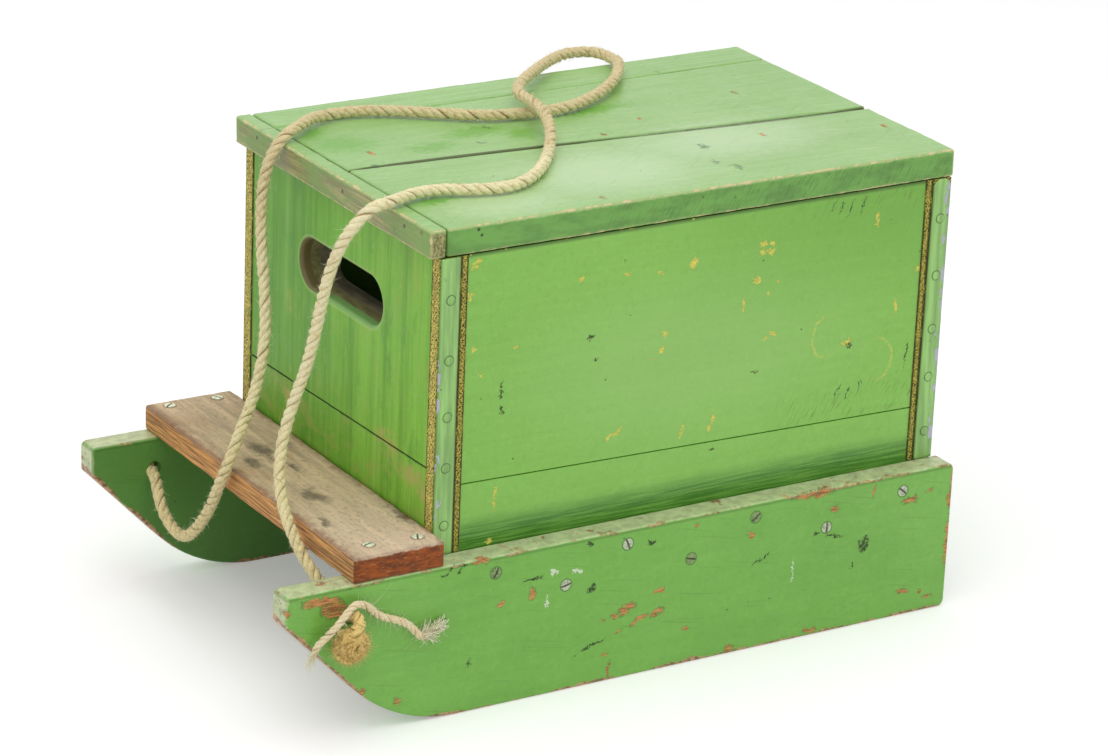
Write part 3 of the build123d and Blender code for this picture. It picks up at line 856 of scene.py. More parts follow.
def weathered(name, wood, low, high):
    """The footboard: grey-brown top with dark stains, orange front edge, reddish end grain."""
    material, t, shader = new_material(name)
    place = t.object_place()
    x, y, z = t.split(place)
    grain = t.group("Wood Grain", Stretch=(130, 11, 130), Scale=1.0)
    fine = t.group("Wood Grain", Stretch=(760, 22, 760), Scale=1.0)
    ragged = t.minus(t.noise(place, 120, 3, 0.6), 0.5)
    worn = t.shades(grain["Tone"], 0.3, 0.7, wood.top, 0.86, 1.06)
    warm = t.fade(t.drawn_out(place, (34, 11, 34), 3, 0.6), 0.5, 0.72, 0.0, 0.4)
    worn = t.mix(warm, worn, (0.66, 0.49, 0.33))
    worn = t.tint(worn, y, 0.0, 0.15, 0.6, (0.95, 0.85, 0.74))
    speckle = t.fade(t.drawn_out(place, (330, 190, 330), 4, 0.7), 0.5, 0.68, 0.0, 0.5)
    worn = t.mix(speckle, worn, brightened(wood.top, 0.68))
    worn = t.tint(worn, fine["Tone"], 0.48, 0.7, 0.3, brightened(wood.top, 0.66))
    push = t.vector("SUBTRACT", t.noise(place, 55, 4, 0.65, output=1), (0.5, 0.5, 0.5))
    blot = t.vector("ADD", place, t.scaled(push, mm(26, 40, 0)))
    spots = soft(t, blot, FOOTBOARD_STAINS, (0, 0, 1))
    spots = t.times(spots, t.fade(fine["Line"], 0.3, 0.62, 0.35, 0.9))
    worn = t.mix(spots, worn, (0.27, 0.23, 0.19))
    knot = t.fade(marks(t, blot, FOOTBOARD_KNOT, (0, 0, 1), 12), 0.4, 1.1, 0.85, 0.0)
    worn = t.mix(knot, worn, (0.35, 0.19, 0.09))
    around = rings(t, place, [(x, y, 153.4, 5.4, 5.4, 0) for x, y, _ in SCREWS_ON_FOOTBOARD], (0, 0, 1), 0.15)
    worn = t.mix(t.times(around, 0.5), worn, (0.24, 0.17, 0.10))
    inset = t.least(t.minus(x, low[0]), t.minus(high[0], x))
    rub = t.fade(t.times_plus(ragged, 0.02, inset), 0.0, 0.008, 0.5, 0.0)
    worn = t.mix(rub, worn, (0.52, 0.33, 0.18))
    fresh = t.shades(fine["Tone"], 0.36, 0.62, wood.edge, 0.62, 1.14)
    fresh = t.tint(fresh, fine["Line"], 0.56, 0.7, 0.5, brightened(wood.edge, 0.5))
    fresh = t.tint(fresh, grain["Tone"], 0.45, 0.7, 0.5, (0.62, 0.40, 0.22))
    end = t.shades(t.drawn_out(place, (90, 90, 260), 4, 0.65), 0.3, 0.7, wood.end, 0.72, 1.18)
    rays = t.fade(t.drawn_out(place, (150, 60, 420), 4, 0.7), 0.54, 0.66, 0.0, 0.45)
    end = t.mix(rays, end, (0.80, 0.55, 0.34))
    on_front = t.fade(t.times_plus(ragged, 0.003, x), high[0] - 0.0024, high[0] - 0.0012)
    on_end = t.fade(t.times_plus(ragged, 0.002, t.absolute(y)), high[1] - 0.0022, high[1] - 0.0012)
    on_top = t.fade(t.times_plus(ragged, 0.004, z), high[2] - 0.0030, high[2] - 0.0012)
    tone = t.mix(on_front, worn, fresh)
    tone = t.mix(on_end, tone, end)
    tone = t.mix(on_top, tone, worn)
    near = t.group("Board Edges", Low=low, High=high, Width=0.003, Ragged=0.005)["Near"]
    splinter = t.group("Chips", Near=near, Amount=0.26, Scale=260.0, Level=0.83)
    tone = t.mix(t.times(near, 0.35), tone, (0.45, 0.26, 0.13))
    tone = t.mix(t.times(splinter["Chip"], 0.8), tone, brightened(wood.edge, 1.05))
    t.put(shader["Base Color"], tone)
    t.put(shader["Roughness"], t.times_plus(grain["Tone"], 0.2, 0.66))
    bump(t, shader, t.times_plus(fine["Line"], 0.6, t.plus(fine["Tone"], grain["Tone"])), 0.6, 0.0009)
    return material


def rough_wood(name, colour):
    material, t, shader = new_material(name)
    place = t.object_place()
    grain = t.group("Wood Grain", Stretch=(120, 9, 120), Scale=1.0)
    tone = t.shades(grain["Tone"], 0.3, 0.7, colour, 0.7, 1.15)
    tone = t.tint(tone, t.noise(place, 25, 3), 0.45, 0.75, 0.5, brightened(colour, 0.5))
    t.put(shader["Base Color"], tone)
    t.put(shader["Roughness"], t.times_plus(grain["Line"], 0.2, 0.7))
    bump(t, shader, grain["Line"], 0.6, 0.0008)
    return material


def strip_metal(name, trim, low, high, rivets, bare_x, bare_amount):
    """Painted metal: green, darker along its edges, bare grey metal along one edge, and dark rings round the
    rivets as painted shadow.
    """
    material, t, shader = new_material(name)
    place = t.object_place()
    x = t.split(place)[0]
    dirt = bpy.context.scene.sled_paint.dirt
    streaks = t.group("Brush Marks", Stretch=(160, 160, 12))
    colour = trim.strip
    tone = t.shades(streaks["Tone"], 0.3, 0.7, colour, 0.86, 1.08)
    edges = t.least(t.minus(x, low[0]), t.minus(high[0], x))
    # Darker along the strip's two long edges.
    tone = t.mix(t.fade(edges, 0.0, 0.0022, 0.75, 0.0), tone, (0.30, 0.50, 0.18))
    near = t.fade(t.absolute(t.minus(x, bare_x)), 0.001, 0.0085, bare_amount, 0.0)
    worn = t.plus(t.drawn_out(place, (110, 110, 42), 3, 0.6), near)
    patches = t.fade(worn, 0.70, 0.715)
    tone = t.tint(tone, worn, 0.67, 0.70, 0.5, (0.45, 0.62, 0.40))
    tone = t.mix(patches, tone, trim.metal)
    specks = t.group("Specks", Scale=120.0, Size=0.12, Share=0.08)["Mask"]
    tone = t.mix(t.times(specks, 0.6), tone, dirt)
    # Painted shadow: a dark ring round each rivet head.
    ring = rings(t, place, rivets, (0, 1, 0), 0.14)
    tone = t.mix(t.times(ring, 0.65), tone, (0.12, 0.24, 0.05))
    t.put(shader["Base Color"], tone)
    t.put(shader["Metallic"], t.times(patches, 0.35))
    t.put(shader["Roughness"], t.fade(t.noise(place, 80, 2), 0.3, 0.7, 0.30, 0.44))
    bump(t, shader, t.minus(streaks["Height"], t.times(patches, 0.8)), 0.3, 0.0004)
    return material


def screw_metal(name, colour, dull):
    material, t, shader = new_material(name)
    place = t.object_place()
    grime = t.fade(t.noise(place, 420, 3, 0.6), 0.42, 0.7)
    tone = t.mix(grime, colour, brightened(colour, 0.7))
    tone = t.mix(dull, tone, t.mix(grime, (0.47, 0.60, 0.27), (0.26, 0.34, 0.10)))
    slot = t.named("slot")
    tone = t.mix(t.times(slot, 0.85), tone, (0.16, 0.20, 0.08))
    t.put(shader["Base Color"], tone)
    shader["Metallic"].default_value = 0.2 * (1 - dull)
    t.put(shader["Roughness"], t.fade(grime, 0.0, 1.0, 0.38, 0.7))
    bump(t, shader, t.noise(place, 900, 3), 0.25, 0.0003)
    return material


def tape_weave(name, trim, free_x, free_y, side_y):
    """Woven tape: coarse crossing threads, yellow with brown gaps, with painted shadow along its two free
    edges, along the strip's edge and as darker olive on its side leg.
    """
    material, t, shader = new_material(name)
    place = t.object_place()
    x, y, z = t.split(t.vector("ADD", place, t.scaled(t.noise(place, 380, 2, 0.6, output=1), mm(6, 6, 6))))
    flat = t.plus(x, y)
    thread_spacing, slope = 0.0034, 0.9
    turns = 2 * math.pi / thread_spacing
    one = t.math("SINE", t.times(t.plus(flat, t.times(z, slope)), turns))
    two = t.math("SINE", t.times(t.minus(flat, t.times(z, slope)), turns))
    height = t.fade(t.times_plus(t.noise(place, 620, 3, 0.8), 3.4, t.most(one, two)), 0.6, 3.2)
    tone = t.mix(t.fade(height, 0.34, 0.74), trim.tape_gap, trim.tape)
    tone = t.tint(tone, t.noise(place, 60, 3, 0.6), 0.5, 0.72, 0.6, brightened(trim.tape, 0.7))
    green = t.fade(t.noise(place, 70, 3, 0.6), 0.56, 0.7, 0.0, 0.6)
    tone = t.mix(green, tone, (0.48, 0.58, 0.20))
    own_x, own_y = t.split(place)[:2]
    # Painted shadow: the side leg is darker olive where the strip's raised edge shades it.
    beside = t.fade(t.absolute(t.minus(own_y, side_y)), 0.0008, 0.0016, 0.6, 0.0)
    tone = t.mix(beside, tone, t.mix(t.fade(height, 0.4, 0.7), (0.28, 0.27, 0.03), (0.66, 0.62, 0.16)))
    # Painted shadow in thin dark lines along the free edges, and along the strip's edge 6.2 mm in.
    covered = 0.0062
    from_free = t.absolute(t.minus(own_x, free_x))
    side_shadow_lines = t.fade(t.least(from_free, t.absolute(t.minus(from_free, covered))), 0.0007, 0.0017, 0.9, 0.0)
    front_shadow_line = t.fade(t.absolute(t.minus(own_y, free_y)), 0.0006, 0.0020, 0.9, 0.0)
    uneven = t.fade(t.noise(place, 90, 3, 0.6), 0.3, 0.5, 0.4, 1.0)
    tone = t.mix(t.times(t.most(side_shadow_lines, front_shadow_line), uneven), tone, (0.20, 0.20, 0.04))
    t.put(shader["Base Color"], tone)
    shader["Roughness"].default_value = 0.85
    bump(t, shader, height, 0.8, 0.0008)
    return material


def rope_fibre(name, colour, shade, turns, yarns, sheen=0.08, stain=None):
    """Twisted fibres, with painted shade in their hollows and between the strands; a stain, if there is one,
    comes in towards the rope's low ends.
    """
    material, t, shader = new_material(name)
    place = t.object_place()
    fibre = t.group("Twisted Fibre", Yarns=yarns, Turns=turns)
    if stain is not None:
        z = t.split(place)[2]
        low = t.fade(t.times_plus(t.noise(place, 30, 2, 0.6), 0.16, z), 0.34, 0.18)
        colour = t.mix(low, colour, stain)
        shade = t.mix(low, shade, brightened(stain, 0.72))
        tanned = t.times(t.fade(t.split(place)[1], 0.07, 0.035), t.fade(z, 0.30, 0.38, 0.1, 0.42))
        colour = t.mix(tanned, colour, (0.80, 0.67, 0.42))
        shade = t.mix(tanned, shade, (0.60, 0.45, 0.25))
    tone = t.mix(t.fade(fibre["Tone"], 0.22, 0.5), shade, colour)
    tone = t.tint(tone, t.noise(place, 1100, 3, 0.75), 0.50, 0.64, 0.75, shade)
    # Painted shade in the hollows of the twisted fibres.
    tone = t.mix(t.fade(fibre["Height"], 0.0, 0.5), t.mix(0.6, tone, shade), tone)
    # Painted shade between the strands, as deep as the groove value says.
    groove = t.named("groove")
    tone = t.tint(tone, groove, 0.12, 0.50, 0.85, t.mix(0.55, shade, (0.48, 0.36, 0.18)))
    t.put(shader["Base Color"], tone)
    shader["Roughness"].default_value = 0.9
    shader["Sheen Weight"].default_value = sheen
    shader["Sheen Roughness"].default_value = 0.5
    bump(t, shader, fibre["Height"], 0.8, 0.0008)
    return material


def dress(piece, material):
    piece.data.materials.clear()
    piece.data.materials.append(material)
    return piece


# Routes: control points of smooth lines, written in millimetres
ROPE_ROUTE = np.array([
    (262, -183.2, 104.4), (265, -153, 103), (269, -140, 90), (270, -125, 75), (268, -106, 66),
    (269, -85, 71), (271, -63, 88), (271, -41, 113), (271, -27, 137), (266, -18, 162), (256, -21, 183),
    (240, -33, 199), (226, -45, 217), (215, -54, 246), (211, -63, 282), (210, -72, 318), (208, -79, 350),
    (205, -81, 376), (199, -80, 397), (188, -80, 411.5), (168, -91, 414.5), (146, -110, 413),
    (123, -119, 411), (97, -118, 411), (70, -106, 411), (39, -84, 411), (6, -61, 411), (-30, -54, 411),
    (-66, -52, 411), (-107, -70, 412), (-145, -99, 414.5), (-170, -136, 414.5), (-177, -150, 412),
    (-176, -181, 412), (-150, -187, 412.5), (-124, -172, 414), (-92, -144, 417), (-45, -99, 421),
    (-26, -66, 424.5), (-27, -31, 423.5), (-13, 10, 418), (17, 54, 411), (51, 91, 411), (83, 108, 411),
    (114, 102, 411), (140, 89, 411), (164, 91, 411.5), (189, 102, 412), (209, 106, 411), (222, 104, 399),
    (229, 97, 383), (233, 86, 359), (235, 78, 333), (236, 70, 303), (239, 61, 268), (247, 53, 235),
    (256, 53, 204), (263, 62, 179), (268, 79, 160), (270, 99, 144), (268, 118, 128), (262.5, 139, 113),
    (262, 152, 104.4), (262, 183.2, 104.4),
]) / 1000
STRAND_ROUTE = np.array([
    (299, 188.5, 80), (296, 190, 89), (290, 193, 96), (284, 197.5, 105), (276, 197, 112.5),
    (267, 192.5, 118), (258, 190, 118.5), (249, 188.5, 112.5), (241, 187, 104), (230, 186.5, 98.5),
    (216, 186.5, 93), (208, 186.5, 85.5), (202, 186.5, 78), (194.5, 186.5, 76.5), (187.5, 187, 82.5),
]) / 1000
# The neck of the left stopper knot: out of the runner's hole, over and down into the ball
KNOT_NECK = np.array([
    (262, 183.6, 105), (262, 189, 109), (261.5, 194, 109.5), (263, 198, 106), (266, 200, 100),
    (269, 199.5, 93), (270, 197, 86),
]) / 1000
# Marks, each (x, y, z, half width, half height, turn in degrees) in millimetres;
# a scuff ends with the way that it faces
SLED_SIDE_MARKS = {
    "yellow": (
        (5, 161, 342, 3, 2, 0), (48, 161, 346, 3, 3, 0), (-26, 161, 339, 3, 2, 0),
        (-58, 161, 343, 3, 5, 40), (-126, 161, 349, 3, 3, 0), (-134, 161, 349, 3, 3, 0),
        (-125, 161, 342, 3, 3, 0), (-133, 161, 341, 4, 2, 0), (145, 161, 372, 3, 7, 50),
        (150, 161, 346, 3, 4, 0), (146, 161, 302, 2, 2, 0), (138, 161, 279, 2, 2, 0),
        (106, 161, 297, 3, 2, 0), (10, 161, 207, 11, 1.6, -32), (-31, 161, 273, 2, 2, 0),
        (-24, 161, 266, 1.5, 1.5, 0), (-35, 161, 286, 4, 2, 0), (-108, 161, 299, 1.6, 7, 0),
        (-120, 161, 319, 4, 3, 0), (-142, 161, 314, 3, 2, 0), (-133, 161, 306, 2, 2, 0),
        (-132, 161, 266, 3, 2.4, 0), (-140, 161, 269, 3, 2, 0), (-214, 161, 250, 5, 4, 0),
        (-238, 161, 354, 2.4, 5, 0), (-262, 161, 275, 1.6, 7, 0), (-286, 161, 305, 4, 4, 0),
        (-83, 161, 200, 2, 8, 20), (-55, 161, 198, 1.6, 7, 20), (43, 161, 185, 5, 1.4, 0),
    ),
    "dark": (
        (7, 161, 353, 1.2, 1.2, 0), (37, 161, 294, 6, 1.6, -8), (31, 161, 274, 2, 1.6, 0),
        (118, 161, 246, 1.8, 5, 0), (119, 161, 262, 0.8, 9, 0), (-217, 161, 247, 3, 4, 20),
        (-277, 161, 229, 0.8, 13, 10), (-124, 161, 239, 2, 1.2, 0), (-86, 161, 177, 4, 1, 0),
        (-201, 161, 371, 0.8, 8, 25), (-211, 161, 369, 0.8, 10, 25), (-223, 161, 371, 0.8, 9, 25),
        (-193, 161, 372, 0.8, 7, 25), (-209, 161, 207, 0.8, 7, 30), (-219, 161, 204, 0.8, 6, 30),
        (-231, 161, 209, 0.8, 6, 30),
    ),
    "scuffs": ((-195, 161, 258, 15, 18, 0, 1), (-247, 161, 230, 16, 19, 0, -1)),
}
RUNNER_MARKS = {
    "wood": (
        (-276, 183, 22, 7, 3, 0), (-293, 183, 17, 2.5, 5, 0), (-302, 183, 13, 5, 2, 0),
        (-276, 183, 106, 9, 4, 0), (-198, 183, 112, 5, 4, 0), (-238, 183, 120, 1.4, 8, 20),
        (-296, 183, 111, 6, 1.2, 0), (-115, 183, 103, 4, 4, 0), (-60, 183, 123, 2, 3, 0),
        (-53, 183, 32, 4, 3, 0), (5, 183, 61, 11, 6, -25), (26, 183, 55, 3, 2.5, 0),
        (17, 183, 57, 3.5, 2.5, 0), (-7, 183, 49, 11, 2.4, -25), (12, 183, 42, 5, 2, -20),
        (-25, 183, 52, 8, 3.6, -20), (-26, 183, 71, 6, 2.5, -20), (96, 183, 93, 5, 7, 0),
        (125, 183, 89, 3.5, 3.5, 0), (20, 183, 9, 2, 8, 0), (25, 183, 24, 4, 1.6, 0),
        (219, 183, 23, 4, 3.4, 0), (251, 183, 38, 4, 3, 0), (319, 183, 118, 3, 4, 0),
        (144, 183, 130, 9, 3, 0), (-176, 183, 129, 24, 3.6, 0), (-98, 183, 5, 6, 4, 0),
        (-180, 183, 5, 6, 3, 0), (289, 183, 122, 20, 5, 4), (277, 183, 114, 14, 9, 10),
        (-318, 183, 60, 2, 30, 0), (-318, 183, 100, 3, 12, 0),
    ),
    "dark": (
        (-230, 183, 74, 6, 8, 10), (-181, 183, 93, 3.4, 2.4, 0), (-200, 183, 87, 12, 1.6, 14),
        (40, 183, 85, 6, 4, -20), (36, 183, 35, 14, 1.8, -18), (96, 183, 104, 12, 1.6, -6),
        (-16, 183, 115, 6, 2.4, 0), (43, 183, 126, 4, 3, 0), (-220, 183, 56, 2.5, 2.5, 0),
        (153, 183, 43, 1.4, 5, 0), (175, 183, 126, 9, 1.2, -40), (163, 183, 127, 7, 1, -40),
        (-126, 183, 80, 12, 1, -30),
    ),
    "pale": (
        (76, 183, 107, 3, 3, 0), (54, 183, 104, 5, 1.4, 0), (82, 183, 83, 0.8, 7, 0),
        (-159, 183, 64, 0.6, 12, 8),
    ),
}
# A rivet's outline: shares of its radius, and heights in metres
RIVET_PROFILE = (
    (1.02, -0.0006), (1.0, 0.0001), (0.97, 0.0005), (0.86, 0.0009), (0.5, 0.00118), (0.12, 0.00122)
)
# Screws: two places across the board in millimetres, then dull (1) or bright (0), or the slot's turn
SCREWS_ON_RUNNER = (
    (6.7, 118.6, 0), (-55.8, 93.9, 1), (-118.2, 119.2, 1), (-190.7, 96.4, 0), (-267.7, 115.4, 0),
    (64.5, 93.6, 0), (131, 117, 1),
)
SCREWS_ON_FOOTBOARD = ((236.7, 163.1, 0.3), (194.3, 166.1, 1.1), (242.2, -172, 0.6), (197.8, -171, 2.0))
FOOTBOARD_STAINS = (
    (226, 55, 153, 12, 24, 0), (238, -30, 153, 8, 18, 0), (221, -50, 153, 9, 26, 0),
    (212, -5, 153, 5, 16, 0), (192, -60, 153, 6, 20, 0), (184, 120, 153, 5, 30, 0),
    (245, 110, 153, 5, 14, 0),
)
FOOTBOARD_KNOT = ((180, 125, 153, 5, 8, 0),)
LID_MARKS = {
    "wood": (
        (134, -29, 405, 3, 5, 0), (22, 146, 405, 2, 4, 0), (-66, 7, 405, 2, 4, 0), (-187, 62, 405, 2, 4, 0),
        (-232, -47, 405, 2, 5, 0), (-116, -17, 405, 2, 4, 0), (-295, 84, 405, 2, 6, 0),
    ),
    "dark": (
        (-124, 68, 405, 5, 8, 0), (-110, 107, 405, 3, 7, 0), (-120, 126, 405, 4, 9, 0),
        (14, -50, 405, 3, 5, 0), (38, -16, 405, 5, 2, 20), (148, 1, 405, 4, 4, 0),
        (-204, -126, 405, 3, 3, 0),
    ),
}
LID_NAILS_FRONT = (
    (187, -126, 397, 2.2, 2.2, 0), (187, -93, 397, 2, 2, 0), (187, 20, 395, 2.2, 2.2, 0),
    (187, 120, 397, 2.2, 2.2, 0),
)
LID_NAILS_SIDE = ((145, 162, 401, 2, 2, 0), (142, 162, 396, 1.8, 1.8, 0))
# Painted light on the lid's top: the pale patches are painted sheen, and the deep ones are painted shade
# where less sheen shows and where the rope shades the lid.
LID_SHEEN_AND_SHADE_PATCHES = {
    "pale": ((-13, 90, 405, 120, 70, 0), (-150, 60, 405, 120, 60, 0), (100, 120, 405, 70, 45, 0)),
    "deep": (
        (29, -43, 405, 40, 16, 0), (81, -23, 405, 30, 14, 0), (143, -57, 405, 34, 26, 0),
        (-8, -24, 405, 24, 18, 0), (150, 94, 405, 26, 16, 0), (158, -100, 405, 20, 26, 0),
        (-91, -56, 405, 60, 12, 0), (60, 80, 405, 30, 10, 0),
    ),
}
SLED_FOOT_MARKS = {
    "yellow": ((121, 161, 171, 1.2, 12, 0), (125, 161, 135, 3, 3, 0)),
    "dark": ((-86, 161, 177, 4, 1, 0),),
}
END_SCUFFS = (
    (178, 84, 203, 26, 9, 0), (178, 125, 186, 20, 12, 0), (178, 146, 174, 12, 10, 0),
    (178, -80, 184, 20, 7, 0),
)


class SLED_OT_rope(bpy.types.Operator):
    """Lays the three-strand tow rope and its loose hairs along the route"""

    bl_idname = "sled.rope"
    bl_label = "Tow Rope"

    def execute(self, context):
        rope = context.scene.sled_rope
        line, run = evenly(centreline("tow_rope", ROPE_ROUTE), 0.0018)
        points, faces, uv = laid_rope(line, run, rope.diameter * 1.06, rope.lay, 3, seed=5, sides=10)
        piece = mesh_piece("tow_rope", points, faces, uv)
        store(piece, "groove", groove_depth(points, line, 3, rope.diameter))
        fibre = rope_fibre("Rope fibre", rope.colour, rope.shade, turns=110.0, yarns=4.0, stain=rope.stain)
        dress(piece, fibre)
        chance = np.random.default_rng(11)
        pick = chance.integers(8, len(line) - 8, rope.hairs)
        along, side, up = carried_frames(line)
        angle = chance.uniform(0, 2 * np.pi, len(pick))
        away = np.cos(angle)[:, None] * side[pick] + np.sin(angle)[:, None] * up[pick]
        lean = away * chance.uniform(0.15, 1.0, (len(pick), 1))
        lean = unit(lean + along[pick] * chance.choice([-1.0, 1.0], (len(pick), 1)))
        roots = line[pick] + away * rope.diameter * 0.47
        size = chance.gamma(3.0, 0.0007, len(pick)).clip(0.0008, 0.0065)
        fuzz = mesh_piece("rope_fuzz", *hairs(roots, lean, size, 0.00032, 0.8, 12, segments=3))
        light, dark = brightened(rope.colour, 1.08), brightened(rope.colour, 0.96)
        dress(fuzz, rope_fibre("Loose fibre", light, dark, turns=30.0, yarns=1.0))
        for part in (piece, fuzz):
            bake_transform(part)
        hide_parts("rope_right", "rope_lid", "rope_left")
        return {"FINISHED"}


class SLED_OT_knots(bpy.types.Operator):
    """Ties the stopper knots outside the runners and frays their ends"""

    bl_idname = "sled.knots"
    bl_label = "Stopper Knots"

    def execute(self, context):
        rope = context.scene.sled_rope
        material = rope_fibre("Knot fibre", rope.knot, brightened(rope.knot, 0.72), turns=110.0, yarns=4.0)
        for (side, way), seed in zip(SIDES, (31, 32)):
            low, high = (np.array(corner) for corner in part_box(f"knot_{side}"))
            x, z = (low[0] + high[0]) / 2 + 0.0038, (low[2] + high[2]) / 2 - 0.0058
            centre = np.array([x, way * 0.1945, z])
            coats, depths = [], []
            # The neck: a stub of rope that comes out of the hole, bends over and goes down into the ball
            line, run = evenly(centreline("neck", KNOT_NECK * (1, way, 1)), 0.0010)
            share = run / run[-1]
            widening = np.interp(share, [0, 0.3, 0.8, 1], [0.66, 0.72, 1.0, 1.05])
            add_cord(coats, depths, line, run, 0.0118, 0.022, seed, 10, widening)
            # Turns of cord round the neck: its line, carried outwards by its own frame as the angle grows
            _, side_way, up_way = carried_frames(line)
            angle = 2 * np.pi * 3.4 * share
            away = np.cos(angle)[:, None] * side_way + np.sin(angle)[:, None] * up_way
            winding = (line + 0.0045 * widening[:, None] * away)[share > 0.25]
            add_cord(coats, depths, *evenly(winding, 0.0010), 0.0052, 0.011, seed + 4, 7)
            # The ball: a globe of latitude rings made lumpy by noise, under a coil and a coat of fibres
            angle = np.linspace(0, 2 * np.pi, 48, endpoint=False)
            turn, rise = np.meshgrid(angle, np.linspace(-1.5, 1.5, 27), indexing="ij")
            globe = np.stack([np.cos(rise) * np.cos(turn), np.cos(rise) * np.sin(turn), np.sin(rise)], -1)
            bulge = 0.10 * unevenness(globe, 2.2, seed) + 0.09 * unevenness(globe, 8, seed + 1)
            ball = globe * (1 + bulge)[..., None] * np.array([0.0146, 0.0114, 0.0126]) + centre
            coats.append((ball.reshape(-1, 3), grid_quads(*turn.shape, rows_closed=True)[0]))
            # Painted shade: the ball's hollows get a groove value, so they are drawn darker.
            depths.append(np.clip(0.25 - bulge.ravel() * 4, 0, 0.6))
            # The coil: a spiral on the ball's outer side, 13.2 mm wide at its foot and 2.6 mm at its tip
            angle = np.linspace(0.4, 0.4 + 5.2 * np.pi, 130)
            wide = np.interp(angle, [angle[0], angle[-1]], [0.0132, 0.0026])
            out = way * (0.0030 + 0.70 * (0.0132 - wide))
            coil = centre + np.stack([wide * np.cos(angle), out, -wide * np.sin(angle)], -1)
            add_cord(coats, depths, *evenly(coil, 0.0010), 0.0062, 0.012, seed + 2, 7)
            # The fibres: roots on the ball's outer half, hairs that swirl round it
            chance = np.random.default_rng(seed)
            count = 1300
            away = unit(chance.normal(size=(count, 3)) + np.array([0, 0.5 * way, -0.5]))
            away[:, 1] = way * np.abs(away[:, 1])
            root = centre + away * np.array([0.0148, 0.0122, 0.0134]) * chance.uniform(0.86, 1.03, (count, 1))
            swirl = unit(np.cross(away, (0.0, way, 0.0)) + 0.2 * away + 0.3 * chance.normal(size=(count, 3)))
            fibres = hairs(root, swirl, chance.uniform(0.002, 0.0054, count), 0.00036, 1.0, seed, tip=0.35)
            coats.append(fibres)
            depths.append(np.repeat(chance.choice([0.0, 0.0, 0.18, 0.3], count), len(fibres[0]) // count))
            piece = mesh_piece(f"rope_knot_{side}", *join_parts(coats))
            keep_between(piece, way, 0.1834, 0.2112)
            store(piece, "groove", np.concatenate(depths))
            dress(piece, material)
            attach(piece, "sled")
            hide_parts(f"knot_{side}")
        return {"FINISHED"}


class SLED_OT_strand(bpy.types.Operator):
    """Lays the thin loose strand over the left knot, frayed at both ends"""

    bl_idname = "sled.strand"
    bl_label = "Loose Strand"

    def execute(self, context):
        line, run = evenly(centreline("loose_strand", STRAND_ROUTE), 0.001)
        taper = np.interp(run / run[-1], [0, 0.06, 0.88, 1], [0.6, 1.0, 1.1, 0.9])
        thickness = 0.0060
        points, faces, uv = laid_rope(line, run, thickness, 0.017, 3, 41, sides=8, taper=taper)
        piece = mesh_piece("loose_strand_twist", points, faces, uv)
        store(piece, "groove", 0.7 * groove_depth(points, line, 3, thickness, taper))
        fibre = rope_fibre("Strand fibre", (1.0, 0.94, 0.78), (0.92, 0.76, 0.54), turns=130.0, yarns=3.0)
        dress(piece, fibre)
        chance = np.random.default_rng(43)
        along = unit(np.gradient(line, axis=0))
        count = 1200
        pick = chance.integers(4, len(line) - 4, count)
        loose = unit(chance.normal(size=(count, 3)) + along[pick] * chance.choice([-1.0, 1.0], (count, 1)))
        loose[:, 1] = np.abs(loose[:, 1])
        size = chance.gamma(2.0, 0.0013, count).clip(0.0012, 0.013)
        parts = [hairs(line[pick] + loose * 0.002, loose, size, 0.00032, 1.1, 44)]
        # Frayed ends: at which points, which way, how many, how spread, how long, how thick and how blunt
        frays = (
            (slice(0, 4), (0.45, 0.15, -1.0), 16, 0.22, (0.005, 0.010), 0.0010, 0.4),
            (slice(0, 6), (0.5, 0.2, -1.0), 60, 0.45, (0.003, 0.011), 0.00035, 0.2),
            (slice(-16, None), (-0.9, 0.3, 0.5), 130, 0.30, (0.005, 0.010), 0.0014, 0.55),
            (slice(-18, None), (-0.8, 0.35, 0.5), 110, 0.45, (0.004, 0.010), 0.0004, 0.3),
            (slice(-12, -4), (0.5, 0.3, -1.0), 14, 0.3, (0.005, 0.012), 0.0005, 0.25),
        )
        for number, (where, way, count, spread, length, width, tip) in enumerate(frays):
            root = chance.choice(line[where], count) + chance.normal(size=(count, 3)) * 0.0013
            ways = unit(unit(np.array(way)) + chance.normal(size=(count, 3)) * spread)
            sizes = chance.uniform(*length, count)
            parts.append(hairs(root, ways, sizes, width, 0.9, 45 + number, segments=5, tip=tip))
        fray = mesh_piece("loose_strand_fray", *join_parts(parts))
        keep_between(fray, 1.0, 0.1836, 0.2100)
        dress(fray, rope_fibre("Frayed fibre", (1.0, 0.99, 0.88), (1.0, 0.95, 0.78), 30.0, 1.0, sheen=0.0))
        for part in (piece, fray):
            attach(part, "sled")
        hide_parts("loose_strand")
        return {"FINISHED"}


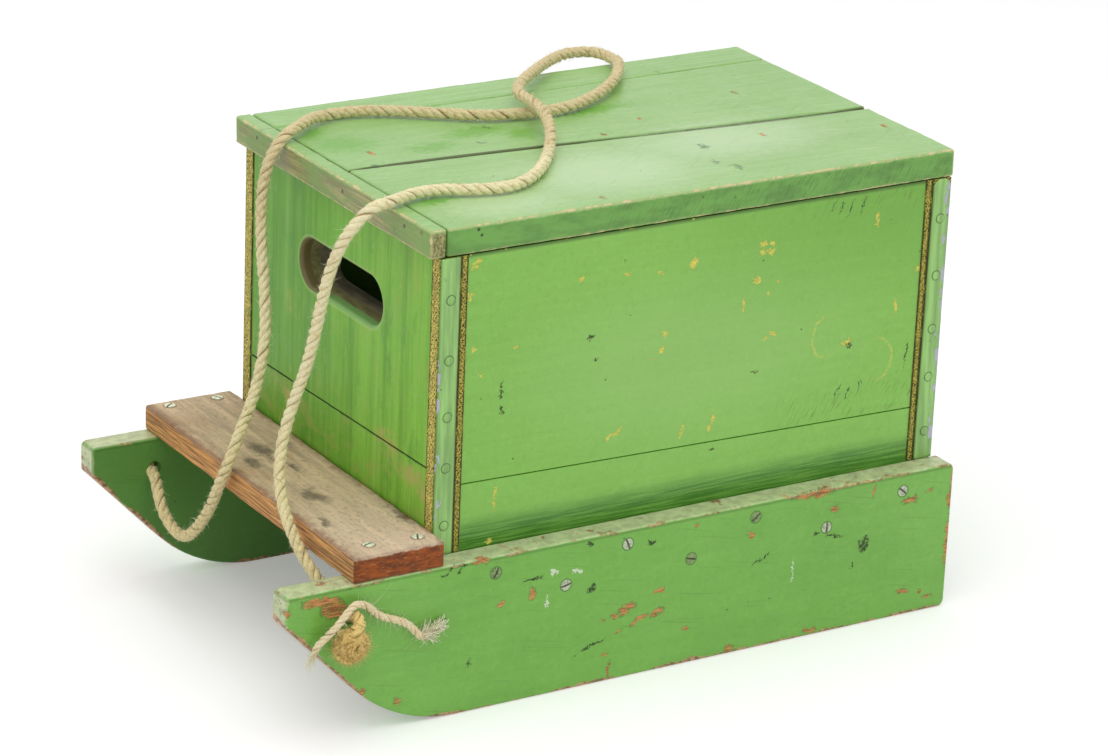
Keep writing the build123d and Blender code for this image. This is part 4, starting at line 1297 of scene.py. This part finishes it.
class SLED_OT_lid(bpy.types.Operator):
    """Makes the lid's front strip and three planks with worn edges"""

    bl_idname = "sled.lid"
    bl_label = "Lid Boards"

    def execute(self, context):
        paint = context.scene.sled_paint
        radius = paint.lid_edge_radius
        planks = ("lid_front_strip", "lid_plank_left", "lid_plank_middle", "lid_plank_right")
        corners = [np.array(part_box(node)) for node in planks]
        lid_low = np.min([corner[0] for corner in corners], axis=0)
        lid_high = np.max([corner[1] for corner in corners], axis=0)
        slant = 0.0328
        joint_front_y = 0.0012
        lid_middle, lid_half = (lid_high[1] + lid_low[1]) / 2, (lid_high[1] - lid_low[1]) / 2

        def lid_tone(t, tone, node):
            """Painted shade and painted sheen in deeper and paler patches, the dark joints, and the grimier
            rim, its darker green partly painted shade.
            """
            place = t.object_place()
            x, y, z = t.split(place)
            blurred = t.group("Ragged Place", Coarse=0.028, Fine=0.004)["Place"]
            # Painted sheen in the pale patches, painted shade in the deep ones.
            pale = soft(t, blurred, LID_SHEEN_AND_SHADE_PATCHES["pale"], (0, 0, 1))
            tone = t.mix(t.times(pale, 0.6), tone, (0.80, 0.89, 0.71))
            deep = soft(t, blurred, LID_SHEEN_AND_SHADE_PATCHES["deep"], (0, 0, 1))
            tone = t.mix(t.times(deep, 0.85), tone, (0.43, 0.69, 0.22))
            pale_lines = t.group("Saw Marks", Across=(160, 820, 0), Along=(16, -5, 0), Level=0.63)["Mask"]
            tone = t.mix(t.times(pale_lines, 0.32), tone, (0.84, 0.90, 0.74))
            dark_lines = t.group("Saw Marks", Across=(-420, 520, 0), Along=(10, 12, 0), Level=0.66)["Mask"]
            tone = t.mix(t.times(dark_lines, 0.25), tone, (0.34, 0.50, 0.20))
            back = t.fade(x, lid_high[0], lid_low[0])
            aslant = t.minus(y, t.times_plus(back, slant, joint_front_y + 0.0008))
            width = t.times_plus(back, 0.0018, 0.0016)
            strength = 0.0 if node == "lid_front_strip" else 0.8
            joint = t.fade(t.math("DIVIDE", t.absolute(aslant), width), 0.7, 1.6, strength, 0.0)
            thin_joint_y, strip_width = -0.121, 0.0146
            beside_strip = t.absolute(t.minus(x, lid_high[0] - strip_width))
            other = t.least(t.absolute(t.minus(y, thin_joint_y)), beside_strip)
            joint = t.most(joint, t.fade(other, 0.0004, 0.0012, 0.4, 0.0))
            tone = t.mix(joint, tone, (0.25, 0.22, 0.09))
            if node == "lid_front_strip":
                lines = t.fade(t.drawn_out(place, (420, 22, 420), 4, 0.65), 0.42, 0.62)
                bare = t.mix(lines, brightened(paint.lid_front, 0.82), brightened(paint.lid_front, 1.04))
                left_paint = t.drawn_out(place, (60, 22, 90), 4, 0.65)
                bare = t.tint(bare, left_paint, 0.43, 0.58, 0.85, (0.46, 0.60, 0.26))
                off_middle = t.times_plus(t.noise(place, 40, 3), 0.06, t.absolute(t.plus(y, 0.01)))
                bare = t.tint(bare, off_middle, 0.15, 0.19, 0.8, (0.50, 0.66, 0.30))
                stained = t.drawn_out(place, (60, 45, 90), 4, 0.65)
                bare = t.tint(bare, stained, 0.60, 0.72, 0.6, (0.36, 0.32, 0.17))
                pores = t.fade(t.noise(place, 420, 3, 0.7), 0.4, 0.6)
                end = t.mix(pores, (0.40, 0.42, 0.20), (0.68, 0.66, 0.42))
                on_end = t.fade(t.absolute(t.minus(y, lid_middle)), lid_half - 0.002, lid_half - 0.001)
                rim_tone = t.mix(on_end, bare, end)
            else:
                # Grime patches on the rim, whose darker green is partly painted shade.
                grime = t.fade(t.drawn_out(place, (26, 26, 90), 4, 0.65), 0.38, 0.72, 0.0, 0.6)
                rim_tone = t.mix(grime, paint.lid_rim, brightened(paint.lid_rim, 0.72))
                saw = t.group("Saw Marks", Across=(760, 0, 430), Along=(-34, 0, 60), Level=0.54)["Mask"]
                saw = t.times(saw, t.fade(x, 0.10, -0.06, 0.05, 0.36))
                rim_tone = t.mix(saw, rim_tone, (0.25, 0.40, 0.13))
                walls = t.fade(t.absolute(aslant), 0.005, 0.009, 0.9, 0.0)
                rim_tone = t.mix(walls, rim_tone, (0.34, 0.18, 0.09))
            ragged = t.minus(t.noise(place, 150, 3, 0.6), 0.5)
            rim = t.fade(t.times_plus(ragged, 0.003, z), lid_high[2] - 0.0030, lid_high[2] - 0.0014, 1.0, 0.0)
            tone = t.mix(rim, tone, rim_tone)
            if node == "lid_front_strip":
                nails = marks(t, place, LID_NAILS_FRONT, (1, 0, 0))
            else:
                nails = marks(t, place, LID_NAILS_SIDE, (0, 1, 0))
            return t.mix(t.fade(nails, 0.5, 1.0, 0.85, 0.0), tone, paint.dirt)

        def taper(points, low, high, node):
            """The wide joint runs aslant and opens to the rear: the planks beside it move apart with x."""
            back = (high[0] - points[:, 0]) / (high[0] - low[0])
            across = (points[:, 1] - low[1]) / (high[1] - low[1])
            if node == "lid_plank_left":
                points[:, 1] += (slant * back + 0.0006 + 0.0028 * back) * (1 - across)
            elif node == "lid_plank_middle":
                points[:, 1] -= (slant * (1 - back) + 0.0003 + 0.0008 * back) * across
            return points

        brushes = {"lid_front_strip": (5, 130, 5), "lid_plank_right": (6, 320, 150)}
        for node, (low, high), seed in zip(planks, corners, (51, 52, 53, 54)):
            shape = partial(taper, low=low, high=high, node=node)
            piece = worn_board("worn_" + node, low, high, radius, 0.0014, seed, shape=shape)
            material = painted(
                "Lid paint " + node[4:], paint.lid_top, (lid_low, lid_high), brushes.get(node, (6, 150, 150)),
                partial(lid_tone, node=node), axis=(0, 0, 1), bare=paint.lid_wear,
                edge=0.0030, edge_amount=0.36, edge_colour=(0.78, 0.78, 0.54), edge_tone=0.6, chip_scale=95,
                gloss=0.36, streak=0.12 if node == "lid_plank_right" else 0.045, speck=0.04, blotch=0.25,
                mark_floor=0.0, wood=LID_MARKS["wood"], faint=LID_MARKS["dark"],
            )
            dress(piece, material)
            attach(piece, "lid")
            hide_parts(node)
        bare_wood = context.scene.sled_wood.rough
        for end, _ in ENDS:
            dress(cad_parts[f"lid_cleat_{end}"], rough_wood(f"Cleat wood {end}", bare_wood))
        return {"FINISHED"}


class SLED_OT_box(bpy.types.Operator):
    """Paints the side, end and floor boards of the box"""

    bl_idname = "sled.box"
    bl_label = "Box Boards"

    def execute(self, context):
        paint, wood = context.scene.sled_paint, context.scene.sled_wood
        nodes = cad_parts

        def side_tone(t, tone):
            """Painted light over the middle, painted shade towards the rear top and under the lid, saw marks
            at the rear corners, and a painted reflection in deeper green just above the runner.
            """
            place = t.object_place()
            x, _, z = t.split(place)
            # Painted light: a paler patch over the middle of each side.
            lit = soft(t, place, ((-60, 155, 262, 210, 95, 0), (-60, -155, 262, 210, 95, 0)), (0, 1, 0))
            tone = t.mix(t.times(lit, 0.45), tone, (0.64, 0.82, 0.47))
            # Painted shade: darker towards the rear top of each side.
            corner = t.times(t.fade(x, 0.05, -0.28), t.fade(z, 0.24, 0.38))
            tone = t.mix(t.times(corner, 0.5), tone, (0.40, 0.64, 0.20))
            # Painted shadow: a thin dark line along the top of the side, under the lid.
            tone = t.tint(tone, z, 0.377, 0.381, 0.8, (0.18, 0.28, 0.08))
            saw = t.group("Saw Marks", Across=(620, 0, 350), Along=(-30, 0, 52), Level=0.60)["Mask"]
            high = t.times(t.fade(x, -0.135, -0.19), t.fade(z, 0.352, 0.372))
            low = t.times(t.times(t.fade(x, -0.13, -0.18), t.fade(z, 0.222, 0.20)), t.fade(z, 0.178, 0.186))
            saw = t.times(saw, t.most(high, low))
            tone = t.mix(t.times(saw, 0.6), tone, (0.42, 0.52, 0.14))
            # Painted reflection: deeper green towards the foot of the side boards.
            foot = t.fade(t.times_plus(t.noise(place, 12, 2), 0.010, z), 0.166, 0.147)
            ripples = t.fade(t.drawn_out(place, (20, 20, 900), 3, 0.6), 0.36, 0.60)
            foot = t.times(foot, t.times_plus(ripples, 0.55, 0.45))
            return t.mix(t.times(foot, 0.92), tone, paint.side_foot_reflection)

        ends = [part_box(f"{end}_upper") for end, _ in ENDS]
        box_low, box_high = min(low[0] for low, _ in ends), max(high[0] for _, high in ends)
        box_middle, box_half = (box_low + box_high) / 2, (box_high - box_low) / 2
        slot_z = 0.311
        seam_high, seam_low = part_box("front_lower")[1][2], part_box("front_upper")[0][2]
        seam_rise = ((seam_high - seam_low) / 2 + 0.0004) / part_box("front_upper")[1][1]

        def end_tone(t, tone):
            """Deep green streaks that run down the board, a yellowish scuffed foot, and a painted highlight
            round the hand slot's lip.
            """
            place = t.object_place()
            x, y, z = t.split(place)
            tone = t.tint(tone, y, 0.10, -0.15, 0.7, (0.34, 0.60, 0.10))
            clouds = t.drawn_out(place, (1, 30, 16), 4, 0.7)
            tone = t.tint(tone, clouds, 0.52, 0.70, 0.6, (0.60, 0.72, 0.26))
            tone = t.tint(tone, clouds, 0.46, 0.30, 0.6, (0.34, 0.60, 0.16))
            runs = t.drawn_out(place, (1, 60, 3), 4, 0.7)
            tone = t.tint(tone, runs, 0.45, 0.72, 0.6, paint.end_streak)
            tone = t.tint(tone, runs, 0.47, 0.27, 0.4, (0.62, 0.80, 0.38))
            fine = t.drawn_out(place, (1, 380, 8), 2, 0.6)
            tone = t.tint(tone, fine, 0.52, 0.7, 0.3, paint.end_streak)
            wear = t.fade(t.drawn_out(place, (160, 160, 90), 4, 0.7), 0.58, 0.70, 0.0, 0.3)
            tone = t.mix(wear, tone, (0.68, 0.72, 0.44))
            clouds = t.fade(t.drawn_out(place, (40, 30, 60), 4, 0.65), 0.47, 0.62)
            scuff = t.times(clouds, t.fade(z, 0.21, 0.185))
            tone = t.mix(t.times(scuff, 0.40), tone, (0.66, 0.66, 0.34))
            blurred = t.group("Ragged Place", Coarse=0.03, Fine=0.006)["Place"]
            tone = t.mix(t.times(soft(t, blurred, END_SCUFFS, (1, 0, 0)), 0.75), tone, (0.72, 0.69, 0.38))
            seam = t.minus(z, t.times_plus(y, seam_rise, (seam_high + seam_low) / 2))
            seam = t.absolute(t.times_plus(t.minus(t.noise(place, 60, 3, 0.6), 0.5), 0.0014, seam))
            tone = t.mix(t.fade(seam, 0.0004, 0.0012, 0.8, 0.0), tone, (0.13, 0.16, 0.03))
            beyond = t.most(t.minus(t.absolute(t.minus(y, 0.002)), 0.0475), 0.0)
            off_slot = t.add("ShaderNodeCombineXYZ", {0: beyond, 1: t.minus(z, slot_z)}).outputs[0]
            reach = t.vector("LENGTH", off_slot)
            grained = t.fade(t.drawn_out(place, (220, 60, 220), 4, 0.65), 0.3, 0.7)
            inside = t.mix(grained, (0.44, 0.42, 0.26), (0.60, 0.60, 0.40))
            painted_sill = t.fade(t.times_plus(y, 0.35, t.minus(slot_z, z)), 0.006, 0.016)
            deep_in = t.minus(box_half, t.absolute(t.minus(x, box_middle)))
            shallow = t.fade(t.times_plus(t.noise(place, 90, 2), 0.002, deep_in), 0.0100, 0.0114, 1.0, 0.0)
            inside = t.mix(shallow, inside, t.mix(painted_sill, (0.44, 0.40, 0.24), (0.52, 0.72, 0.40)))
            # Painted highlight: a paler ring round the hand slot, on its rounded lip.
            lip = t.fade(t.absolute(t.minus(reach, 0.0236)), 0.0006, 0.0017, 0.4, 0.0)
            tone = t.mix(lip, tone, (0.68, 0.80, 0.50))
            return t.mix(t.fade(reach, 0.0222, 0.0232, 1.0, 0.0), tone, inside)

        for side, way in SIDES:
            for part in ("upper", "lower"):
                node = f"side_{part}_{side}"
                chosen = SLED_SIDE_MARKS if part == "upper" else SLED_FOOT_MARKS
                material = painted(
                    f"Side paint {part} {side}", paint.side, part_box(node), (4, 90, 160), side_tone,
                    bare=paint.old_yellow, edge=0.0016, edge_amount=0.15, edge_colour=(0.34, 0.55, 0.20),
                    edge_tone=0.35, gloss=0.36 if part == "upper" else 0.28, streak=0.03, speck=0.03,
                    blotch=0.14, **mirrored(chosen, way),
                )
                dress(nodes[node], material)
        for end, _ in ENDS:
            for part in ("upper", "lower"):
                node = f"{end}_{part}"
                material = painted(
                    f"End paint {part} {end}", paint.end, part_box(node), (90, 110, 5), end_tone,
                    axis=(1, 0, 0), bare=paint.old_yellow, edge=0.002, edge_amount=0.16,
                    edge_colour=(0.26, 0.42, 0.12), edge_tone=0.4, gloss=0.5, streak=0.10, speck=0.04,
                    blotch=0.3,
                )
                dress(nodes[node], material)
            dress(nodes[f"{end}_backer"], rough_wood(f"Backing board {end}", wood.rough))
        dress(nodes["floor_board"], rough_wood("Floor board", wood.rough))
        return {"FINISHED"}


class SLED_OT_runners(bpy.types.Operator):
    """Paints the runners, chipped to bare wood along their edges"""

    bl_idname = "sled.runners"
    bl_label = "Runners"

    def execute(self, context):
        paint = context.scene.sled_paint
        nose_run, nose_rise, nose_foot, nose_end = 0.102, 0.106, 0.218, 0.320
        nose_slope = math.hypot(nose_run, nose_rise)

        def runner_tone(t, tone, high, inner_face):
            """Worn top ledge and nose, painted shade on the inner face, a thin line of bare wood along the
            sole, and scratches.
            """
            place = t.object_place()
            x, y, z = t.split(place)
            scratch = t.group("Saw Marks", Across=(-90, 0, 420), Along=(14, 0, 4), Level=0.64)["Mask"]
            tone = t.mix(t.times(scratch, 0.16), tone, (0.30, 0.42, 0.18))
            rubbed = t.group("Saw Marks", Across=(190, 0, 620), Along=(16, 0, -5), Level=0.66)["Mask"]
            tone = t.mix(t.times(rubbed, 0.14), tone, (0.66, 0.80, 0.52))
            slide = t.minus(t.times(z, nose_run), t.times(t.minus(x, nose_foot), nose_rise))
            foot = t.least(z, t.math("DIVIDE", slide, nose_slope))
            ragged = t.minus(t.noise(place, 75, 4, 0.65), 0.5)
            uneven = t.minus(t.noise(place, 26, 3, 0.6), 0.5)
            worn = t.shades(t.noise(place, 120, 4, 0.65), 0.35, 0.65, paint.ledge, 0.92, 1.05)
            grains = t.group("Specks", Scale=210.0, Size=0.3, Share=0.16)["Mask"]
            worn = t.mix(t.times(grains, 0.6), worn, (0.88, 0.90, 0.80))
            grime = t.fade(t.noise(place, 210, 4, 0.7), 0.56, 0.66, 0.0, 0.75)
            ledge = t.fade(t.times_plus(ragged, 0.002, z), high[2] - 0.0016, high[2] - 0.0004)
            tone = t.mix(ledge, tone, worn)
            nose = t.fade(t.times_plus(ragged, 0.009, x), nose_end - 0.0026, nose_end - 0.0010)
            tone = t.mix(nose, tone, t.mix(grime, worn, (0.36, 0.38, 0.14)))
            # Painted shade: deeper green on the runner's inner face, where the box shades it.
            inner_face_shade = t.fade(t.absolute(y), inner_face + 0.001, inner_face + 0.0022, 0.6, 0.0)
            tone = t.mix(inner_face_shade, tone, (0.22, 0.40, 0.17))
            low_edge = t.plus(t.times_plus(ragged, 0.006, foot), t.times(uneven, 0.012))
            low_edge = t.fade(low_edge, 0.0018, 0.0026, 0.9, 0.0)
            rear = t.plus(x, nose_end)
            rear_face = t.fade(rear, 0.0003, 0.0009, 1.0, 0.0)
            tone = t.mix(t.times(rear_face, 0.7), tone, t.mix(grime, worn, (0.36, 0.50, 0.20)))
            rear_edge = t.plus(t.times_plus(ragged, 0.012, rear), t.times(uneven, 0.016))
            rear_edge = t.fade(rear_edge, 0.0004, 0.0012, 0.9, 0.0)
            rear_edge = t.times(rear_edge, t.times_plus(rear_face, -0.85, 1.0))
            lip = t.absolute(t.minus(t.times_plus(ragged, 0.006, z), high[2] - 0.0012))
            lip = t.fade(lip, 0.0005, 0.0012, 0.9, 0.0)
            lip = t.times(lip, t.fade(t.noise(place, 42, 3, 0.6), 0.52, 0.60))
            under = t.fade(t.absolute(t.minus(z, high[2] - 0.0026)), 0.0004, 0.0016, 0.4, 0.0)
            tone = t.mix(t.times(under, t.minus(1.0, ledge)), tone, (0.24, 0.40, 0.14))
            bare = t.most(t.most(low_edge, rear_edge), lip)
            wood = t.mix(t.fade(t.noise(place, 240, 3), 0.36, 0.62), (0.50, 0.32, 0.22), (0.82, 0.62, 0.48))
            return t.mix(bare, tone, wood)

        for side, way in SIDES:
            node = f"runner_{side}"
            low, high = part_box(node)
            inner_face = min(abs(low[1]), abs(high[1]))
            found = mirrored(RUNNER_MARKS, way)
            found["wood"] = tuple(
                (x, y, z, 0.85 * wide, 0.8 * high, turn) for x, y, z, wide, high, turn in found["wood"]
            )
            # A dark ring round each screw head: dirt and painted shade of its recess.
            screw_dirt_and_shade = tuple((x, way * 183.2, z, 5.3, 5.3, 0) for x, z, _ in SCREWS_ON_RUNNER)
            shade = partial(runner_tone, high=high, inner_face=inner_face)
            material = painted(
                f"Runner paint {side}", paint.runner, (low, high), (5, 70, 110), shade,
                edge=0.0022, edge_amount=0.20, edge_tone=0.25, gloss=0.4, streak=0.03, blotch=0.25,
                mark_floor=0.3, screw_dirt_and_shade=screw_dirt_and_shade, **found,
            )
            dress(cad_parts[node], material)
        return {"FINISHED"}


class SLED_OT_footboard(bpy.types.Operator):
    """Makes the weathered footboard with splintered edges"""

    bl_idname = "sled.footboard"
    bl_label = "Footboard"

    def execute(self, context):
        wood = context.scene.sled_wood
        low, high = (np.array(corner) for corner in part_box("footboard"))
        piece = worn_board("worn_footboard", low, high, wood.edge_radius, 0.0026, 61, step=0.005)
        dress(piece, weathered("Weathered wood", wood, low, high))
        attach(piece, "sled")
        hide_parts("footboard")
        return {"FINISHED"}


class SLED_OT_trim(bpy.types.Operator):
    """Puts the woven tape and the riveted metal strips on the corners"""

    bl_idname = "sled.trim"
    bl_label = "Corner Trim"

    def execute(self, context):
        trim = context.scene.sled_trim
        shares = (0.0996, 0.2969, 0.4697, 0.6605, 0.8622)
        rivet_inset = 0.0097
        profile = [(trim.rivet_radius * share, height) for share, height in RIVET_PROFILE]
        for end, end_way in ENDS:
            for side, way in SIDES:
                tape = f"tape_{end}_{side}"
                tape_low, tape_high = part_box(tape)
                free_x = tape_low[0] if end_way > 0 else tape_high[0]
                free_y, side_y = (tape_low[1], tape_high[1]) if way > 0 else (tape_high[1], tape_low[1])
                weave = tape_weave(f"Woven tape {end} {side}", trim, free_x, free_y, side_y)
                dress(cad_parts[tape], weave)
                node = f"strip_{end}_{side}"
                low, high = (np.array(corner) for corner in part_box(node))
                base = low[1] if way > 0 else -high[1]
                rivet_x = high[0] - rivet_inset if end_way > 0 else low[0] + rivet_inset
                rivet_y = way * (base + 0.0014)
                heads = [(rivet_x, rivet_y, low[2] + share * (high[2] - low[2])) for share in shares]
                parts = [domed_strip(low, high, way, base, round_top=end == "rear")]
                parts += [turned(profile, centre, (0, way, 0), 20) for centre in heads]
                piece = outward(mesh_piece("domed_" + node, *join_parts(parts)), 1e-9)
                rivets = [(*(1000 * number for number in centre), 4.05, 4.05, 0) for centre in heads]
                bare_x, bare_amount = (high[0], 0.115) if end_way > 0 else (low[0], 0.19)
                metal = strip_metal(
                    f"Painted strip {end} {side}", trim, low, high, rivets, bare_x, bare_amount
                )
                dress(piece, metal)
                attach(piece, "sled")
                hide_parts(node)
        hinge = screw_metal("Hinge metal", trim.screw, 0.35)
        for end, _ in ENDS:
            for part in ("box_leaf", "lid_leaf", "pin"):
                dress(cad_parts[f"hinge_{part}_{end}"], hinge)
        return {"FINISHED"}


class SLED_OT_screws(bpy.types.Operator):
    """Sets the slotted screws in the runners and the footboard"""

    bl_idname = "sled.screws"
    bl_label = "Screws"

    def execute(self, context):
        trim = context.scene.sled_trim
        bright = screw_metal("Screw steel", trim.screw, 0.0)
        painted_over = screw_metal("Painted screw", trim.screw, 0.8)
        shiny = screw_metal("Bright screw", brightened(trim.screw, 1.28), 0.0)
        radius = trim.screw_radius
        board_top, runner_face = 154.0, 183.25
        groups = {("footboard", 0): [], ("runners", 0): [], ("runners", 1): []}
        for x, y, turn in SCREWS_ON_FOOTBOARD:
            groups["footboard", 0].append(slotted_head(mm(x, y, board_top), (0, 0, 1), radius, turn))
        for _, way in SIDES:
            for number, (x, z, dull) in enumerate(SCREWS_ON_RUNNER):
                centre = mm(x, way * runner_face, z)
                groups["runners", dull].append(slotted_head(centre, (0, way, 0), radius, 0.9 * number + 0.4))
        for (place, dull), heads in groups.items():
            points, faces = join_parts([head[:2] for head in heads])
            piece = mesh_piece(f"screws_{place}_{'dull' if dull else 'bright'}", points, faces, smooth=False)
            store(piece, "slot", np.concatenate([head[2] for head in heads]))
            outward(piece, 1e-9)
            dress(piece, painted_over if dull else shiny if place == "footboard" else bright)
            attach(piece, "sled")
        return {"FINISHED"}


class SLED_OT_stage(bpy.types.Operator):
    """Sets the pale floor, the soft light and the camera"""

    bl_idname = "sled.stage"
    bl_label = "Stage"

    def execute(self, context):
        stage = context.scene.sled_stage
        lines = np.linspace(-14, 14, 15)
        a, b = np.meshgrid(lines, lines, indexing="ij")
        points = np.stack([a.ravel(), b.ravel(), np.zeros(a.size)], 1)
        floor = mesh_piece("floor", points, grid_quads(*a.shape)[0][:, ::-1], smooth=False)
        material, t, shader = new_material("Pale floor")
        t.put(shader["Base Color"], linear(stage.floor))
        shader["Roughness"].default_value = 0.95
        shader["Specular IOR Level"].default_value = 0.1
        rays = t.add("ShaderNodeLightPath").outputs
        seen = t.most(rays["Is Camera Ray"], rays["Is Glossy Ray"])
        shader["Emission Color"].default_value = (1, 1, 1, 1)
        t.put(shader["Emission Strength"], t.times(seen, 0.26))
        dress(floor, material)

        world = bpy.data.worlds.new("Soft studio")
        world.use_nodes = True
        world.node_tree.nodes.clear()
        t = Tree(world.node_tree)
        rays = t.add("ShaderNodeLightPath").outputs
        seen = t.most(rays["Is Camera Ray"], t.most(rays["Is Glossy Ray"], rays["Is Transmission Ray"]))
        light = t.add("ShaderNodeBackground", {"Color": (1, 1, 1), "Strength": stage.world})
        shown = t.add("ShaderNodeBackground", {"Color": (1, 1, 1), "Strength": 1.0})
        both = t.add("ShaderNodeMixShader", {0: seen, 1: light.outputs[0], 2: shown.outputs[0]})
        output = t.add("ShaderNodeOutputWorld")
        t.tree.links.new(both.outputs[0], output.inputs[0])
        context.scene.world = world

        lamp = bpy.data.lights.new("soft_lamp", "AREA")
        lamp.shape = "SQUARE"
        lamp.size = 3.0
        lamp.energy = stage.lamp
        lamp_object = bpy.data.objects.new("soft_lamp", lamp)
        context.scene.collection.objects.link(lamp_object)
        lamp_object.location = (0.4, 0.6, 3.0)
        lamp_object.rotation_euler = (math.radians(-10), math.radians(8), 0)

        # The camera fitted to the photograph: its focal length in pixels, its directions and its place
        focal_pixels, photo_width = 4283.18, 1108
        camera = bpy.data.cameras.new("camera")
        camera.sensor_fit = "HORIZONTAL"
        camera.sensor_width = 36.0
        camera.lens = focal_pixels * camera.sensor_width / photo_width
        camera_object = bpy.data.objects.new("camera", camera)
        context.scene.collection.objects.link(camera_object)
        right = (-0.852733, 0.520844, 0.039589)
        down = (0.154109, 0.323277, -0.933671)
        forward = (-0.499096, -0.790072, -0.355936)
        place = (1.767784, 2.848276, 1.476)
        turn = Matrix((right, down, forward)).transposed() @ Matrix.Diagonal((1, -1, -1))
        camera_object.matrix_world = Matrix.Translation(place) @ turn.to_4x4()
        context.scene.camera = camera_object
        context.scene.view_settings.view_transform = "Standard"
        return {"FINISHED"}


class SLED_PT_panel(bpy.types.Panel):
    bl_label = "Ice Fishing Sled"
    bl_idname = "SLED_PT_panel"
    bl_space_type = "VIEW_3D"
    bl_region_type = "UI"
    bl_category = "Ice Sled"

    def draw(self, context):
        for operator in OPERATORS:
            self.layout.operator(operator.bl_idname)
        for name, group in SETTINGS.items():
            column = self.layout.column(align=True)
            for key in group.__annotations__:
                column.prop(getattr(context.scene, name), key)


OPERATORS = (
    SLED_OT_stage, SLED_OT_knots, SLED_OT_rope, SLED_OT_strand, SLED_OT_runners, SLED_OT_box, SLED_OT_lid,
    SLED_OT_footboard, SLED_OT_trim, SLED_OT_screws,
)


def register():
    for group in (*SETTINGS.values(), *OPERATORS, SLED_PT_panel):
        bpy.utils.register_class(group)
    for name, group in SETTINGS.items():
        setattr(bpy.types.Scene, name, PointerProperty(type=group))


def unregister():
    for name in SETTINGS:
        delattr(bpy.types.Scene, name)
    for group in (SLED_PT_panel, *reversed(OPERATORS), *SETTINGS.values()):
        bpy.utils.unregister_class(group)


def main():
    register()
    make_groups()
    bpy.ops.sled.stage()
    bpy.ops.sled.knots()
    bpy.ops.sled.rope()
    bpy.ops.sled.strand()
    bpy.ops.sled.runners()
    bpy.ops.sled.box()
    bpy.ops.sled.lid()
    bpy.ops.sled.footboard()
    bpy.ops.sled.trim()
    bpy.ops.sled.screws()


if __name__ == "__main__":
    main()
